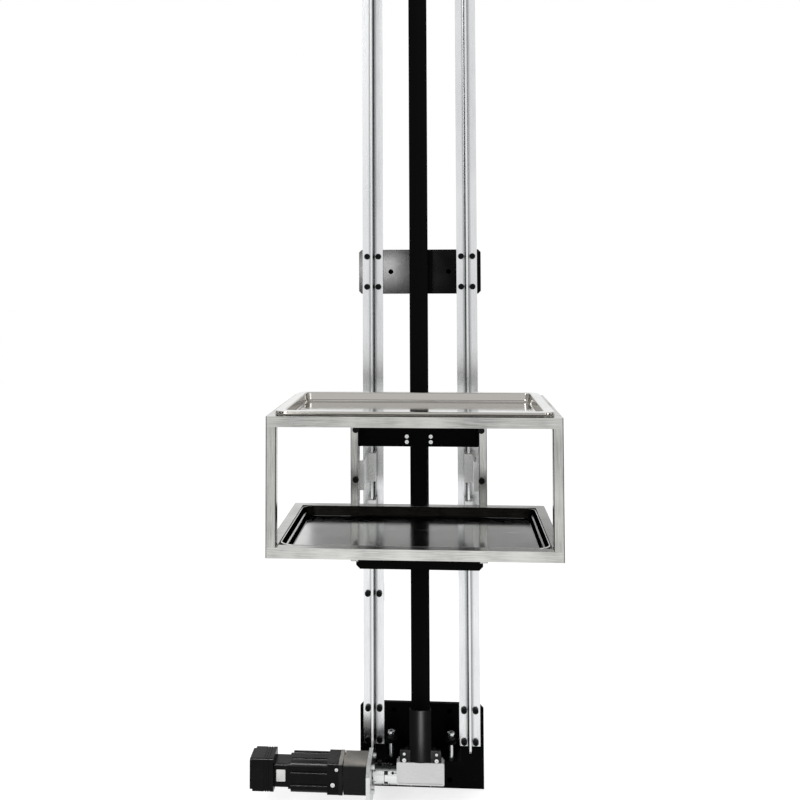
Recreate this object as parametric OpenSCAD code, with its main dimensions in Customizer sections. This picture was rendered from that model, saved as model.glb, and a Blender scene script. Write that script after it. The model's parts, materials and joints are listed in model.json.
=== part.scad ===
// Belt-driven dumbwaiter lift: an open mast of two T-section guide rails on
// black wall plates, a geared motor and toothed belt between them, and a
// two-tier stainless car that hangs in front on a black I-shaped carriage.
// X runs along the wall, +Y points into the wall and +Z points up. The wall's
// face is Y = 0. The origin is the centre of the base plate's wall holes.
// Heights in the sizes below are measured from the foot of the base plate.

/* [Wall plates] */
// Width of the base plate and the head plate
plate_w = 268; // [262:1:320]
// Thickness of the base plate, the wall bracket and the head plate
plate_t = 8; // [6:0.5:12]
// Height of the base plate
base_h = 180; // [178:1:220]
// Height of the head plate
head_h = 180; // [160:1:220]
// Height that the head plate stands above the rails
head_over = 14; // [8:1:30]
// Size of the cut corners of the base plate and the head plate
plate_chamfer = 10; // [4:1:14]
// Width of the wall bracket
bracket_w = 270; // [262:1:320]
// Height of the wall bracket
bracket_h = 98; // [90:1:130]
// Height of the wall bracket's middle above the foot
bracket_z = 1118; // [1000:5:1180]
// Diameter of the holes for the wall anchors
anchor_d = 11; // [8:0.5:12]
// Distance between the base and head plate's anchor holes along the wall
anchor_dx = 120; // [110:1:126]
// Distance between the base and head plate's anchor holes up the wall
anchor_dz = 146; // [130:1:150]
// Distance between the wall bracket's two anchor holes
bracket_anchor_dx = 128; // [110:1:136]

/* [Guide rails] */
// Distance between the middles of the two rails
rail_gauge = 208; // [206:1:212]
// Width of a rail's flange
rail_w = 45; // [42:1:46]
// Depth of a rail from the back of its flange to the edge of its blade
rail_depth = 45; // [42:1:48]
// Thickness of a rail's flange
flange_t = 5; // [4:0.5:6]
// Thickness of a rail's blade
blade_t = 5; // [4:0.5:6]
// Radius of the fillet between blade and flange
rail_fillet = 3; // [2:0.5:4]
// Size of the cut corner at a blade's end, which leads the shoes on
blade_lead = 8; // [4:1:12]
// Length of a rail
rail_len = 2300; // [2000:10:2500]
// Height of a rail's lower end above the foot
rail_foot = 92.5; // [92:0.5:96]
// Distance between the two bolts beside each other on a rail
bolt_gauge = 25; // [24:0.5:27]
// Distance between the two bolts above each other on a plate
bolt_pitch = 67; // [60:1:70]
// Distance from a rail's end to its first bolts
bolt_end = 9; // [8:0.5:12]
// Diameter of the rail bolts
bolt_d = 8; // [6:0.5:8]
// Height of the left rail's extra spacer pad above the foot
pad_z = 414; // [330:1:480]
// Height of the spacer pad
pad_h = 40; // [30:1:60]

/* [Belt drive] */
// Width of the toothed belt
belt_w = 38; // [30:0.5:39]
// Thickness of the belt without its teeth
belt_t = 2.2; // [2:0.1:3]
// Depth of the belt's teeth
tooth_h = 2.3; // [1.5:0.1:2.6]
// Distance from one tooth to the next
tooth_pitch = 10; // [9.8:0.05:10.4]
// Number of teeth on each pulley
pulley_teeth = 12; // [12:1:13]
// Distance of the pulley axes from the wall
drive_y = 93; // [90:1:100]
// Height of the drive pulley's axis above the foot
drive_z = 70; // [68:1:72]
// Distance of the idler pulley's axis below the rails' upper end
idler_drop = 61; // [55:1:75]
// Diameter of the drive shaft and the idler's axle
shaft_d = 15; // [12:0.5:16]
// Outer diameter of the ball bearings
bearing_d = 24; // [22:0.5:26]
// Width of the ball bearings
bearing_w = 5; // [5:0.5:8]

/* [Geared motor] */
// Width and height of the gearbox
gearbox_s = 65; // [60:1:68]
// Length of the gearbox
gearbox_l = 60; // [50:1:75]
// Width and height of the motor's ribbed barrel
barrel_s = 64; // [58:1:65]
// Length of the barrel
barrel_l = 100; // [80:1:130]
// Width and height of the neck behind the barrel
neck_s = 48; // [40:1:52]
// Length of the neck
neck_l = 36; // [28:1:44]
// Depth of the encoder cover
encoder_d = 57; // [50:1:60]
// Height of the encoder cover
encoder_h = 68; // [60:1:70]
// Length of the encoder cover
encoder_l = 50; // [40:1:65]
// Distances of the two screws in the flange's front from the gearbox
flange_screw_x = [4.5, 12.5]; // [4:0.5:18]
// Heights of these screws over the motor's axis
flange_screw_z = [20, -11]; // [-24:0.5:24]
// Widths of these screws' heads
flange_screw_head = [7, 9]; // [5:0.5:10]
// Thickness of the motor plate
motor_plate_t = 8; // [6:0.5:10]
// Distance of the motor plate's left face from the middle of the mast
motor_x = 109; // [106:1:112]
// Distance that the motor plate stands out from the wall
motor_plate_y = 170; // [160:1:180]
// Outer diameter of the coupling
coupling_d = 40; // [34:1:44]
// Diameter of the gearbox's output shaft
output_d = 14; // [10:0.5:16]

/* [Carriage] */
// Width of the two crossbars
crossbar_w = 260; // [254:1:276]
// Height of the two crossbars
crossbar_h = 60; // [54:1:66]
// Depth of the crossbars' channel section
crossbar_d = 30; // [24:1:34]
// Wall of the crossbars' channel section
crossbar_t = 4; // [3:0.5:5]
// Height of the upper crossbar's middle above the foot
upper_z = 786; // [770:1:790]
// Height of the lower crossbar's middle above the foot
lower_z = 536; // [525:1:540]
// Width of the centre post
post_w = 34; // [30:1:37]
// Depth of the centre post
post_d = 10; // [8:0.5:12]
// Thickness of the clamp block between crossbar and belt
block_t = 27; // [24:0.5:29]
// Distance between the clamp screws on either side of the belt
clamp_dx = 49.2; // [48:0.2:54]
// Distance between the clamp screws above each other
clamp_dz = 11; // [9:0.5:14]
// Distance of the upper clamp's middle below the crossbar's middle
clamp_drop = 14.5; // [8:0.5:16]
// Width of the uprights
upright_w = 16; // [14:0.5:20]
// Depth of the uprights
upright_d = 38; // [30:1:44]
// Radius of the uprights' edges
upright_r = 2; // [1:0.5:4]
// Distance between the middles of the two uprights
upright_dx = 259.2; // [258:0.2:262]
// Height of the uprights' lower end above the foot
upright_foot = 532; // [528:1:536]

/* [Car] */
// Width of the car
car_w = 500; // [440:1:560]
// Depth of the car
car_d = 325; // [280:1:380]
// Width of the car's square tubes
tube = 18; // [15:0.5:20]
// Radius of the tubes' edges
tube_r = 2.5; // [1:0.5:4]
// Height of the upper frame's top above the foot
car_top = 867; // [850:1:880]
// Height of the lower frame's underside above the foot
car_bottom = 629.5; // [620:0.5:640]
// Wall of the trays
tray_wall = 1.5; // [1:0.1:2]
// Depth of the trays from rim to floor
tray_depth = 17; // [14:0.5:19]
// Height of the trays' turned-down rim
rim_h = 7; // [5:0.5:9]
// Width of the trays' flat rim
rim_w = 18; // [14:0.5:22]
// Corner radius of the trays
tray_r = 24; // [22:1:30]
// Distance from the car's side to the upper tray's rim
tray_inset = 11; // [9:0.5:13]
// Width of the ledges that carry the lower tray
ledge_w = 12; // [10:0.5:14]
// Thickness of the ledges
ledge_t = 2; // [1.5:0.5:3]

/* [Guide shoes] */
// Length of a guide shoe along its rail
shoe_len = 60; // [50:1:64]
// Distance of the upper guide shoes below the upper crossbar
shoe_drop = 30; // [0:1:36]
// Thickness of the plastic liners
liner_t = 3; // [2.5:0.1:3.5]
// Wall of the shoe housings
shoe_t = 2.5; // [2:0.1:3]
// Thickness of the shoe brackets
shoe_bracket_t = 5; // [4:0.5:6]

/* [Clearances] */
// Gap between a liner and its rail
liner_gap = 0.3; // [0.2:0.05:0.4]
// Gap between the belt and what it passes
belt_gap = 0.35; // [0.3:0.05:0.5]
// Gap between a tray and the frame that it rests on
rest_gap = 0.3; // [0.2:0.05:0.4]
// Radial gap of a shaft in its bearing
shaft_gap = 0.03; // [0.02:0.01:0.06]
// Gap around a fastener in its hole
bolt_gap = 0.25; // [0.15:0.05:0.4]
// Gap between the turning parts and the fixed parts beside them
run_gap = 0.5; // [0.3:0.1:0.8]

/* [Hidden] */
$fn = 64;
eps = 0.01;
far = 400;

// Colours
black_paint = "#17181a";
motor_black = "#232425";
rubber_black = "#0d0d0e";
polished_steel = "#c9cbcc";
stainless = "#d3d4d5";
zinc = "#b9bcbe";
nylon = "#e4e2da";

// Wall plates and rails
origin_z = base_h / 2;
rail_top = rail_foot + rail_len;
head_top = rail_top + head_over;
rail_bolt_hole = bolt_d + 1;
seat_y = -plate_t;
blade_edge_y = seat_y - rail_depth;
base_bolt_z = rail_foot + bolt_end;
head_bolt_z = rail_top - bolt_end - bolt_pitch;
bracket_bolt_z = bracket_z - bolt_pitch / 2;
blade_edge = 0.6;

// Belt and pulleys
pitch_r = pulley_teeth * tooth_pitch / (2 * PI);
belt_in_r = pitch_r - 0.7;
belt_out_r = belt_in_r + belt_t;
pulley_r = belt_in_r - belt_gap;
pulley_gap_w = belt_w + 2 * run_gap;
pulley_flange_t = 1.5;
pulley_flange_r = belt_out_r + 1.2;
pulley_w = pulley_gap_w + 2 * pulley_flange_t;
idler_z = rail_top - idler_drop;
belt_run = idler_z - drive_z;
belt_tooth_clear = 14;
belt_teeth = floor((belt_run - 2 * belt_tooth_clear) / tooth_pitch);
belt_front_y = -drive_y - belt_out_r;
belt_inner_y = -drive_y - belt_in_r;
cheek_t = 6;
cheek_gap = 4;
cheek_x = pulley_w / 2 + cheek_gap;
boss_d = bearing_d + 12;
boss_l = bearing_w + 7;

// Drive bracket, its cover and the belt guard
cover_gap = 20.5;
cover_back_y = belt_front_y - cover_gap;
cover_t = 2.5;
cover_rim = 1.2;
cover_rim_w = 3;
cover_w = 97;
cover_z0 = drive_z + 1;
cover_h = 45;
cover_lip = 20;
shelf_t = 6;
shelf_z = drive_z + 14;
shelf_reach = 75;
shelf_right = 84;
shelf_left = 76;
cheek_top = cover_z0 + cover_h + 24;
guard_w = belt_w + 6;
guard_z0 = cover_z0 + cover_h + 1;
guard_foot_h = 23;
guard_h = 104;
guard_t = 2;
guard_bow = 5;
guard_foot_w = 84;
tab_x = 37;
foot_screw_x = tab_x - 4;
foot_screw_z = [guard_z0 + 4, guard_z0 + 16];
foot_screw_d = [5, 3.5];
tension_x = 63;
tension_y = 68;
tension_d = 8;
tension_tab_rise = 35;
tension_tab_z = shelf_z + shelf_t + tension_tab_rise;
tension_tab_t = 5;
tension_nut_h = 5.5;
tension_head_h = 11;

// Motor train
motor_plate_x = -motor_x;
motor_plate_r = motor_plate_x + motor_plate_t;
gearbox_x = motor_plate_x - gearbox_l;
barrel_x = gearbox_x - barrel_l;
flange_l = 24;
neck_x = barrel_x - neck_l;
encoder_x = neck_x - encoder_l;
cheek_boss_x = -cheek_x - cheek_t - boss_l;
coupling_clear = 3;
coupling_l = cheek_boss_x - coupling_clear - (motor_plate_r + coupling_clear);
coupling_x0 = motor_plate_r + coupling_clear;
spider_l = 8;
hub_turn = 60;
hub_l = (coupling_l - spider_l) / 2;
hub_screw_x = hub_l * 0.55;
jaw_l = spider_l - 1;
jaw_gap_a = 40;
jaw_bore_r = coupling_d * 0.275;
spider_arm = 2 * jaw_bore_r * sin(jaw_gap_a - 30) - 0.6;

// Carriage
block_y = belt_front_y - belt_gap;
web_y = block_y - block_t;
carriage_y = web_y - crossbar_t;
upright_y = carriage_y - upright_d;
clamp_upper_z = upper_z - clamp_drop;
clamp_lower_z = lower_z + clamp_drop;
clamp_w = clamp_dx + 14;
clamp_h = clamp_dz + 12;
clamp_screw_d = 5;
clamp_plate_t = 8;
clamp_plate_y = belt_inner_y + tooth_h + belt_gap;
upright_bolt_d = 8;
upright_top = car_top;
post_x_wall = 3;

// Car
frame_back_y = upright_y;
frame_front_y = frame_back_y - car_d;
frame_mid_y = (frame_back_y + frame_front_y) / 2;
bottom_rail_top = car_bottom + tube;
opening_w = car_w - 2 * tube;
opening_d = car_d - 2 * tube;
lower_tray_gap = 1.5;
lower_tray_w = opening_w - 2 * lower_tray_gap;
lower_tray_d = opening_d - 2 * lower_tray_gap;
ledge_top = bottom_rail_top - rim_h - rest_gap;

// Guide shoes
slot_w = blade_t + 2 * liner_gap;
liner_w = slot_w + 2 * liner_t;
housing_w = liner_w + 2 * shoe_t;
slot_y = blade_edge_y - liner_gap;
liner_y = slot_y - liner_t;
housing_y = liner_y - shoe_t;
shoe_back_y = seat_y - flange_t - 11;
upper_shoe_z = upper_z - crossbar_h / 2 - shoe_drop - shoe_len;
lower_shoe_z = lower_z + crossbar_h / 2;
bracket_in_x = rail_gauge / 2 + housing_w / 2;

// Moves children from heights above the foot to heights above the origin
module from_foot() {
    translate([0, 0, -origin_z]) children();
}

// Extrudes an outline drawn as (X, Z) from the plane y towards the viewer
module plate_xz(y, t) {
    translate([0, y, 0]) rotate([90, 0, 0]) linear_extrude(t) children();
}

// Extrudes an outline drawn as (Y, Z) along +X from the plane x
module plate_yz(x, t) {
    translate([x, 0, 0]) rotate([90, 0, 90]) linear_extrude(t) children();
}

// Cylinder along X from x, along Y towards the viewer from y, or along Z
module rod_x(x, y, z, d, l) {
    translate([x, y, z]) rotate([0, 90, 0]) cylinder(d = d, h = l);
}

module rod_y(x, y, z, d, l) {
    translate([x, y, z]) rotate([90, 0, 0]) cylinder(d = d, h = l);
}

module rod_z(x, y, z, d, l) {
    translate([x, y, z]) cylinder(d = d, h = l);
}

// Both mirror images of the children about the middle of the mast
module both_sides() {
    children();
    mirror([1, 0, 0]) children();
}

// Rectangle with round corners, centred
module round_rect(w, h, r) {
    square([w - 2 * r, h], center = true);
    square([w, h - 2 * r], center = true);
    for (sx = [-1, 1], sy = [-1, 1]) {
        translate([sx * (w / 2 - r), sy * (h / 2 - r)]) circle(r);
    }
}

// Plate outline on the wall: width, foot, height and cut corners
module wall_outline(w, z0, h, top_cut, foot_cut) {
    polygon([
        [-w / 2 + foot_cut, z0], [w / 2 - foot_cut, z0],
        [w / 2, z0 + foot_cut], [w / 2, z0 + h - top_cut],
        [w / 2 - top_cut, z0 + h], [-w / 2 + top_cut, z0 + h],
        [-w / 2, z0 + h - top_cut], [-w / 2, z0 + foot_cut]
    ]);
}

// Where the two bolts beside each other sit on both rails
module rail_bolt_places(z) {
    for (sx = [-1, 1], sg = [-1, 1]) {
        translate([sx * rail_gauge / 2 + sg * bolt_gauge / 2, 0, z]) children();
    }
}

// Holes through a wall plate for its rail bolts, two rows from z0
module plate_rail_holes(z0) {
    for (z = [z0, z0 + bolt_pitch]) {
        rail_bolt_places(z) rod_y(0, eps, 0, bolt_d + 2 * bolt_gap, plate_t + 2 * eps);
    }
}

// Four anchor holes about the height z
module anchor_holes(z) {
    for (sx = [-1, 1], sz = [-1, 1]) {
        rod_y(sx * anchor_dx / 2, eps, z + sz * anchor_dz / 2, anchor_d, plate_t + 2 * eps);
    }
}

module base_plate() {
    from_foot() color(black_paint) {
        difference() {
            plate_xz(0, plate_t) wall_outline(plate_w, 0, base_h, plate_chamfer, 0);
            plate_rail_holes(base_bolt_z);
            anchor_holes(origin_z);
        }
        both_sides() tension_tab();
    }
}

// Tab on the base plate that a tension screw is threaded through
module tension_tab() {
    tab_w = 22;
    reach = tension_y + tab_w / 2;
    difference() {
        union() {
            translate([tension_x - tab_w / 2, -tension_y, tension_tab_z]) {
                cube([tab_w, tension_y - plate_t, tension_tab_t]);
            }
            rod_z(tension_x, -tension_y, tension_tab_z, tab_w, tension_tab_t);
        }
        rod_z(tension_x, -tension_y, tension_tab_z - eps, tension_d + 2 * bolt_gap,
            tension_tab_t + 2 * eps);
    }
}

module wall_bracket() {
    bracket_cut = 6;
    from_foot() color(black_paint) difference() {
        plate_xz(0, plate_t) {
            wall_outline(bracket_w, bracket_z - bracket_h / 2, bracket_h, bracket_cut, bracket_cut);
        }
        plate_rail_holes(bracket_bolt_z);
        for (sx = [-1, 1]) {
            rod_y(sx * bracket_anchor_dx / 2, eps, bracket_z, anchor_d, plate_t + 2 * eps);
        }
    }
}

module head_plate() {
    from_foot() color(black_paint) difference() {
        plate_xz(0, plate_t) {
            wall_outline(plate_w, head_top - head_h, head_h, plate_chamfer, plate_chamfer);
        }
        plate_rail_holes(head_bolt_z);
        anchor_holes(head_top - head_h / 2);
    }
}

// T-section of a rail, drawn with its flange's back on y = 0
module rail_section() {
    f = rail_fillet;
    steps = 4;
    half = concat(
        [[rail_w / 2, 0], [rail_w / 2, -flange_t]],
        [for (i = [0:steps]) [
            blade_t / 2 + f - f * sin(i * 90 / steps),
            -flange_t - f + f * cos(i * 90 / steps)
        ]],
        [[blade_t / 2, -rail_depth + blade_edge], [blade_t / 2 - blade_edge, -rail_depth]]
    );
    polygon(concat(half, [for (i = [len(half) - 1:-1:0]) [-half[i][0], half[i][1]]]));
}

module rail(side) {
    x = side * rail_gauge / 2;
    rows = [
        base_bolt_z, base_bolt_z + bolt_pitch, bracket_bolt_z,
        bracket_bolt_z + bolt_pitch, head_bolt_z, head_bolt_z + bolt_pitch
    ];
    from_foot() color(polished_steel) difference() {
        translate([x, seat_y, rail_foot]) linear_extrude(rail_len) rail_section();
        for (z = side < 0 ? concat(rows, [pad_z]) : rows, sg = [-1, 1]) {
            rod_y(x + sg * bolt_gauge / 2, seat_y + eps, z, rail_bolt_hole, flange_t + 2 * eps);
        }
        plate_yz(x - blade_t, 2 * blade_t) {
            lead_corner(rail_foot, 1);
            lead_corner(rail_top, -1);
        }
    }
}

// Corner that is cut off a blade's end at the height z, drawn as (Y, Z)
module lead_corner(z, up) {
    polygon([
        [blade_edge_y - 1, z - up], [blade_edge_y + blade_lead + 1, z - up],
        [blade_edge_y - 1, z + up * (blade_lead + 1)]
    ]);
}

module rail_left() {
    rail(-1);
}

module rail_right() {
    rail(1);
}

// Spacer that holds the left rail off the wall between base and bracket
module rail_pad() {
    from_foot() color(black_paint) difference() {
        translate([-rail_gauge / 2 - rail_w / 2, -plate_t, pad_z - pad_h / 2]) {
            cube([rail_w, plate_t, pad_h]);
        }
        for (sg = [-1, 1]) {
            rod_y(-rail_gauge / 2 + sg * bolt_gauge / 2, eps, pad_z,
                bolt_d + 2 * bolt_gap, plate_t + 2 * eps);
        }
    }
}

// Socket-head bolt whose head sits on y and whose shank runs into the wall
module cap_bolt_y(d, shank) {
    head_d = d * 1.6;
    head_h = d * 0.65;
    difference() {
        union() {
            rod_y(0, shank, 0, d, shank + eps);
            rod_y(0, 0, 0, head_d, head_h);
        }
        translate([0, -head_h / 2, 0]) rotate([90, 0, 0]) {
            cylinder(d = d * 0.8, h = head_h, $fn = 6);
        }
    }
}

module rail_bolts() {
    from_foot() color(rubber_black) {
        shank = flange_t + plate_t - 0.5;
        for (z = [base_bolt_z, bracket_bolt_z, head_bolt_z], dz = [0, bolt_pitch]) {
            rail_bolt_places(z + dz) {
                translate([0, seat_y - flange_t, 0]) cap_bolt_y(bolt_d, shank);
            }
        }
        for (sg = [-1, 1]) {
            translate([-rail_gauge / 2 + sg * bolt_gauge / 2, seat_y - flange_t, pad_z]) {
                cap_bolt_y(bolt_d, shank);
            }
        }
    }
}

// Cheek of the drive bracket, drawn as (Y, Z)
module cheek_outline() {
    polygon([
        [-plate_t, drive_z - boss_d / 2], [-drive_y - 10, drive_z - boss_d / 2],
        [cover_back_y, cover_z0 + 2], [cover_back_y, cheek_top],
        [cover_back_y + 12, cheek_top], [-drive_y + 24, shelf_z + shelf_t + 8],
        [-plate_t, shelf_z + shelf_t + 8]
    ]);
}

module drive_bracket() {
    from_foot() color(black_paint) difference() {
        union() {
            both_sides() {
                plate_yz(cheek_x, cheek_t) cheek_outline();
                rod_x(cheek_x + cheek_t - eps, -drive_y, drive_z, boss_d, boss_l + eps);
                // flange that the cheek is screwed to the guard by
                translate([cheek_x, cover_back_y, guard_z0]) {
                    cube([tab_x - cheek_x + 4, 4, guard_foot_h]);
                }
            }
            // shelf that the tension screws press on
            translate([-shelf_left, -shelf_reach, shelf_z]) {
                cube([shelf_left - cheek_x - cheek_t + eps, shelf_reach - plate_t, shelf_t]);
            }
            translate([cheek_x + cheek_t - eps, -shelf_reach, shelf_z]) {
                cube([shelf_right - cheek_x - cheek_t, shelf_reach - plate_t, shelf_t]);
            }
        }
        both_sides() {
            rod_x(cheek_x - eps, -drive_y, drive_z, shaft_d + 3, cheek_t + boss_l + 1);
            rod_x(cheek_x + cheek_t + boss_l - bearing_w - 1, -drive_y, drive_z,
                bearing_d + 0.02, bearing_w + 2);
            for (i = [0, 1]) {
                rod_y(foot_screw_x, cover_back_y + 4 + eps, foot_screw_z[i],
                    foot_screw_d[i] + 2 * bolt_gap, 4 + 2 * eps);
            }
        }
    }
}

// Screw that hangs in its tab and presses on the bracket's shelf
module tension_screw() {
    z0 = shelf_z + shelf_t;
    head_z = tension_tab_z + tension_tab_t + tension_nut_h;
    rod_z(tension_x, -tension_y, z0, tension_d, head_z - z0 + eps);
    difference() {
        translate([tension_x, -tension_y, head_z]) {
            cylinder(d1 = tension_d, d2 = 15, h = tension_head_h - 3);
        }
        rod_z(tension_x, -tension_y, head_z + tension_head_h - 8, 6, 10);
    }
    difference() {
        rod_z(tension_x, -tension_y, head_z + tension_head_h - 3 - eps, 15, 3);
        translate([tension_x, -tension_y, head_z + tension_head_h - 8]) {
            cylinder(d = 7, h = 10, $fn = 6);
        }
    }
}

module tension_screws() {
    from_foot() color(zinc) both_sides() tension_screw();
}

module tension_nuts() {
    from_foot() color(rubber_black) both_sides() {
        for (z = [tension_tab_z + tension_tab_t, shelf_z + shelf_t]) difference() {
            translate([tension_x, -tension_y, z]) {
                cylinder(d = 15, h = tension_nut_h - 0.2, $fn = 6);
            }
            rod_z(tension_x, -tension_y, z - 1, tension_d + 0.1, tension_nut_h + 2);
        }
    }
}

// Side profile of the motor plate, drawn as (Y, Z)
module motor_plate_outline() {
    lower = 14;
    under_rail = rail_foot - 3;
    front_top = under_rail + 24;
    step_y = blade_edge_y - 6;
    polygon([
        [-plate_t, lower], [-plate_t, under_rail], [step_y, under_rail],
        [step_y - 8, front_top - 4], [-motor_plate_y + 20, front_top],
        [-motor_plate_y, front_top - 14], [-motor_plate_y, lower]
    ]);
}

// Where the four screws that hold the gearbox sit, about its axis
module gearbox_screw_places() {
    for (sy = [-1, 1], sz = [-1, 1]) {
        translate([0, sy * (gearbox_s / 2 - 8), sz * (gearbox_s / 2 - 8)]) children();
    }
}

module motor_plate() {
    from_foot() color(stainless) difference() {
        plate_yz(motor_plate_x, motor_plate_t) motor_plate_outline();
        rod_x(motor_plate_x - 1, -drive_y, drive_z, output_d + 12, motor_plate_t + 2);
        translate([0, -drive_y, drive_z]) gearbox_screw_places() {
            rod_x(motor_plate_x - 1, 0, 0, 6 + 2 * bolt_gap, motor_plate_t + 2);
        }
    }
}

// Bright cover in front of the drive pulley, open where the belt passes
module pulley_cover() {
    y = cover_back_y;
    mid_z = cover_z0 + cover_h / 2;
    from_foot() color(stainless) {
        plate_xz(y, cover_t) translate([0, mid_z]) round_rect(cover_w, cover_h, 3);
        // rim that stands out round the front
        plate_xz(y - cover_t + eps, cover_rim) translate([0, mid_z]) difference() {
            round_rect(cover_w, cover_h, 3);
            round_rect(cover_w - 2 * cover_rim_w, cover_h - 2 * cover_rim_w, 1.5);
        }
        both_sides() {
            translate([(cover_w - cover_t) / 2, y + cover_lip / 2, mid_z]) {
                cube([cover_t, cover_lip + eps, cover_h - 6], center = true);
            }
            for (z = [cover_z0, cover_z0 + cover_h - cover_t]) {
                translate([tab_x + 6, y - eps, z]) {
                    cube([cover_w / 2 - tab_x - 9, cover_lip, cover_t]);
                }
            }
        }
    }
}

// Convex guard over the belt above the pulley, with a foot to screw it by
module belt_guard() {
    y = cover_back_y;
    from_foot() color(black_paint) difference() {
        union() {
            translate([0, y, guard_z0]) linear_extrude(guard_h) difference() {
                intersection() {
                    translate([-guard_w / 2, -guard_bow - guard_t]) {
                        square([guard_w, guard_bow + guard_t + 9]);
                    }
                    translate([0, guard_bow_r() - guard_bow - guard_t]) circle(guard_bow_r());
                }
                intersection() {
                    translate([-guard_w / 2 + guard_t, -guard_bow]) {
                        square([guard_w - 2 * guard_t, guard_bow + 10]);
                    }
                    translate([0, guard_bow_r() - guard_bow - guard_t]) circle(guard_bow_r() - guard_t);
                }
            }
            both_sides() translate([guard_w / 2 - guard_t, y - guard_t, guard_z0]) {
                cube([guard_foot_w / 2 - guard_w / 2 + guard_t, guard_t, guard_foot_h]);
            }
        }
        both_sides() for (i = [0, 1]) {
            rod_y(foot_screw_x, y + 1, foot_screw_z[i], foot_screw_d[i] + 2 * bolt_gap, guard_t + 2);
        }
    }
}

// Radius of the guard's bowed front
function guard_bow_r() =
    (pow(guard_w / 2, 2) + pow(guard_bow + guard_t, 2)) / (2 * (guard_bow + guard_t)) + 8;

module cover_screws() {
    from_foot() color(zinc) both_sides() for (i = [0, 1]) {
        translate([foot_screw_x, cover_back_y - guard_t, foot_screw_z[i]]) {
            cap_bolt_y(foot_screw_d[i], guard_t + 4);
        }
    }
}

// Ball bearing seen from its ends: two rings and a recessed shield
module bearing_x(x, y, z, bore) {
    translate([x, y, z]) rotate([0, 90, 0]) difference() {
        cylinder(d = bearing_d, h = bearing_w);
        translate([0, 0, -1]) cylinder(d = bore, h = bearing_w + 2);
        for (h = [-1, bearing_w - 0.5]) {
            translate([0, 0, h]) difference() {
                cylinder(d = bearing_d - 3, h = 1.5);
                translate([0, 0, -1]) cylinder(d = shaft_d + 3, h = 4);
            }
        }
    }
}

module bearings() {
    from_foot() color(polished_steel) both_sides() {
        bearing_x(cheek_x + cheek_t + boss_l - bearing_w - 1, -drive_y, drive_z,
            shaft_d + 2 * shaft_gap);
    }
}

module gearbox() {
    ring = gearbox_s / 2;
    from_foot() color(motor_black) translate([0, -drive_y, drive_z]) difference() {
        union() {
            plate_yz(gearbox_x, 8) round_rect(gearbox_s, gearbox_s, 5);
            rod_x(gearbox_x + 8 - eps, 0, 0, gearbox_s - 1, gearbox_l - 18);
            plate_yz(gearbox_x + 10, gearbox_l - 10) round_rect(gearbox_s, gearbox_s, 8);
        }
        rod_x(motor_plate_x - 14, 0, 0, output_d + 12, 15);
        gearbox_screw_places() rod_x(motor_plate_x - 16, 0, 0, 6 + 2 * bolt_gap, 17);
    }
}

// Where the screws of the motor's flange sit about its axis: place and head width $d
module flange_screw_places() {
    for (turn = [0, 180], i = [0, 1]) {
        $d = flange_screw_head[i];
        translate([gearbox_x - flange_screw_x[i], 0, flange_screw_z[i]]) {
            rotate(turn) translate([0, -gearbox_s / 2, 0]) children();
        }
    }
}

// Ribbed barrel: a square extrusion with round corners and long grooves
module barrel_section() {
    groove = 3;
    difference() {
        round_rect(barrel_s, barrel_s, 14);
        for (a = [0:90:270], s = [-1, 1]) {
            rotate(a) translate([s * barrel_s * 0.2, barrel_s / 2]) circle(groove);
        }
    }
}

module motor_barrel() {
    from_foot() color(motor_black) translate([0, -drive_y, drive_z]) difference() {
        union() {
            plate_yz(barrel_x, barrel_l - flange_l) barrel_section();
            plate_yz(gearbox_x - flange_l - eps, flange_l) round_rect(gearbox_s, gearbox_s, 6);
        }
        // pockets for the screws in the flange's front and back
        flange_screw_places() {
            rod_y(0, 5, 0, $d + 4, 8);
            rod_y(0, 14, 0, $d * 0.6 + 2 * bolt_gap, 14);
        }
    }
}

module motor_neck() {
    from_foot() color(motor_black) translate([0, -drive_y, drive_z]) {
        plate_yz(neck_x, neck_l) round_rect(neck_s, neck_s, 6);
        plate_yz(barrel_x - 6, 6) round_rect(neck_s + 6, neck_s + 6, 8);
    }
}

module encoder_cover() {
    lip = 6;
    from_foot() color(motor_black) translate([0, -drive_y - 3, drive_z + 4]) difference() {
        union() {
            plate_yz(encoder_x + lip, encoder_l - lip) round_rect(encoder_d, encoder_h, 5);
            plate_yz(encoder_x, lip + eps) round_rect(encoder_d - 6, encoder_h - 6, 4);
        }
        // cooling grooves round the end of the cover
        for (x = [0:2]) {
            plate_yz(encoder_x + encoder_l - 10 - x * 5, 2) difference() {
                square([encoder_d + 2, encoder_h + 2], center = true);
                round_rect(encoder_d - 2.4, encoder_h - 2.4, 4);
            }
        }
    }
}

// Round cable socket on the wall side of the encoder cover
module motor_connector() {
    y = -drive_y - 3 + encoder_d / 2;
    z = drive_z + 4;
    x = encoder_x + 20;
    from_foot() color(zinc) difference() {
        union() {
            rod_y(x, y + 16, z, 20, 16);
            rod_y(x, y + 5, z, 24, 5);
        }
        rod_y(x, y + 17, z, 15, 11);
    }
}

// Screw head and shank along +X, head on the left
module cap_bolt_x(x, d, shank) {
    rod_x(x - d, 0, 0, d * 1.6, d);
    rod_x(x - eps, 0, 0, d, shank);
}

module motor_screws() {
    from_foot() color(zinc) translate([0, -drive_y, drive_z]) {
        gearbox_screw_places() {
            translate([motor_plate_r, 0, 0]) mirror([1, 0, 0]) {
                cap_bolt_x(0, 6, motor_plate_t + 12);
            }
        }
        flange_screw_places() difference() {
            union() {
                rod_y(0, 4.8, 0, $d, 4);
                rod_y(0, 13, 0, $d * 0.6, 9);
            }
            translate([0, 2, 0]) rotate([90, 0, 0]) cylinder(d = $d / 2, h = 4, $fn = 6);
        }
    }
}

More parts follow.
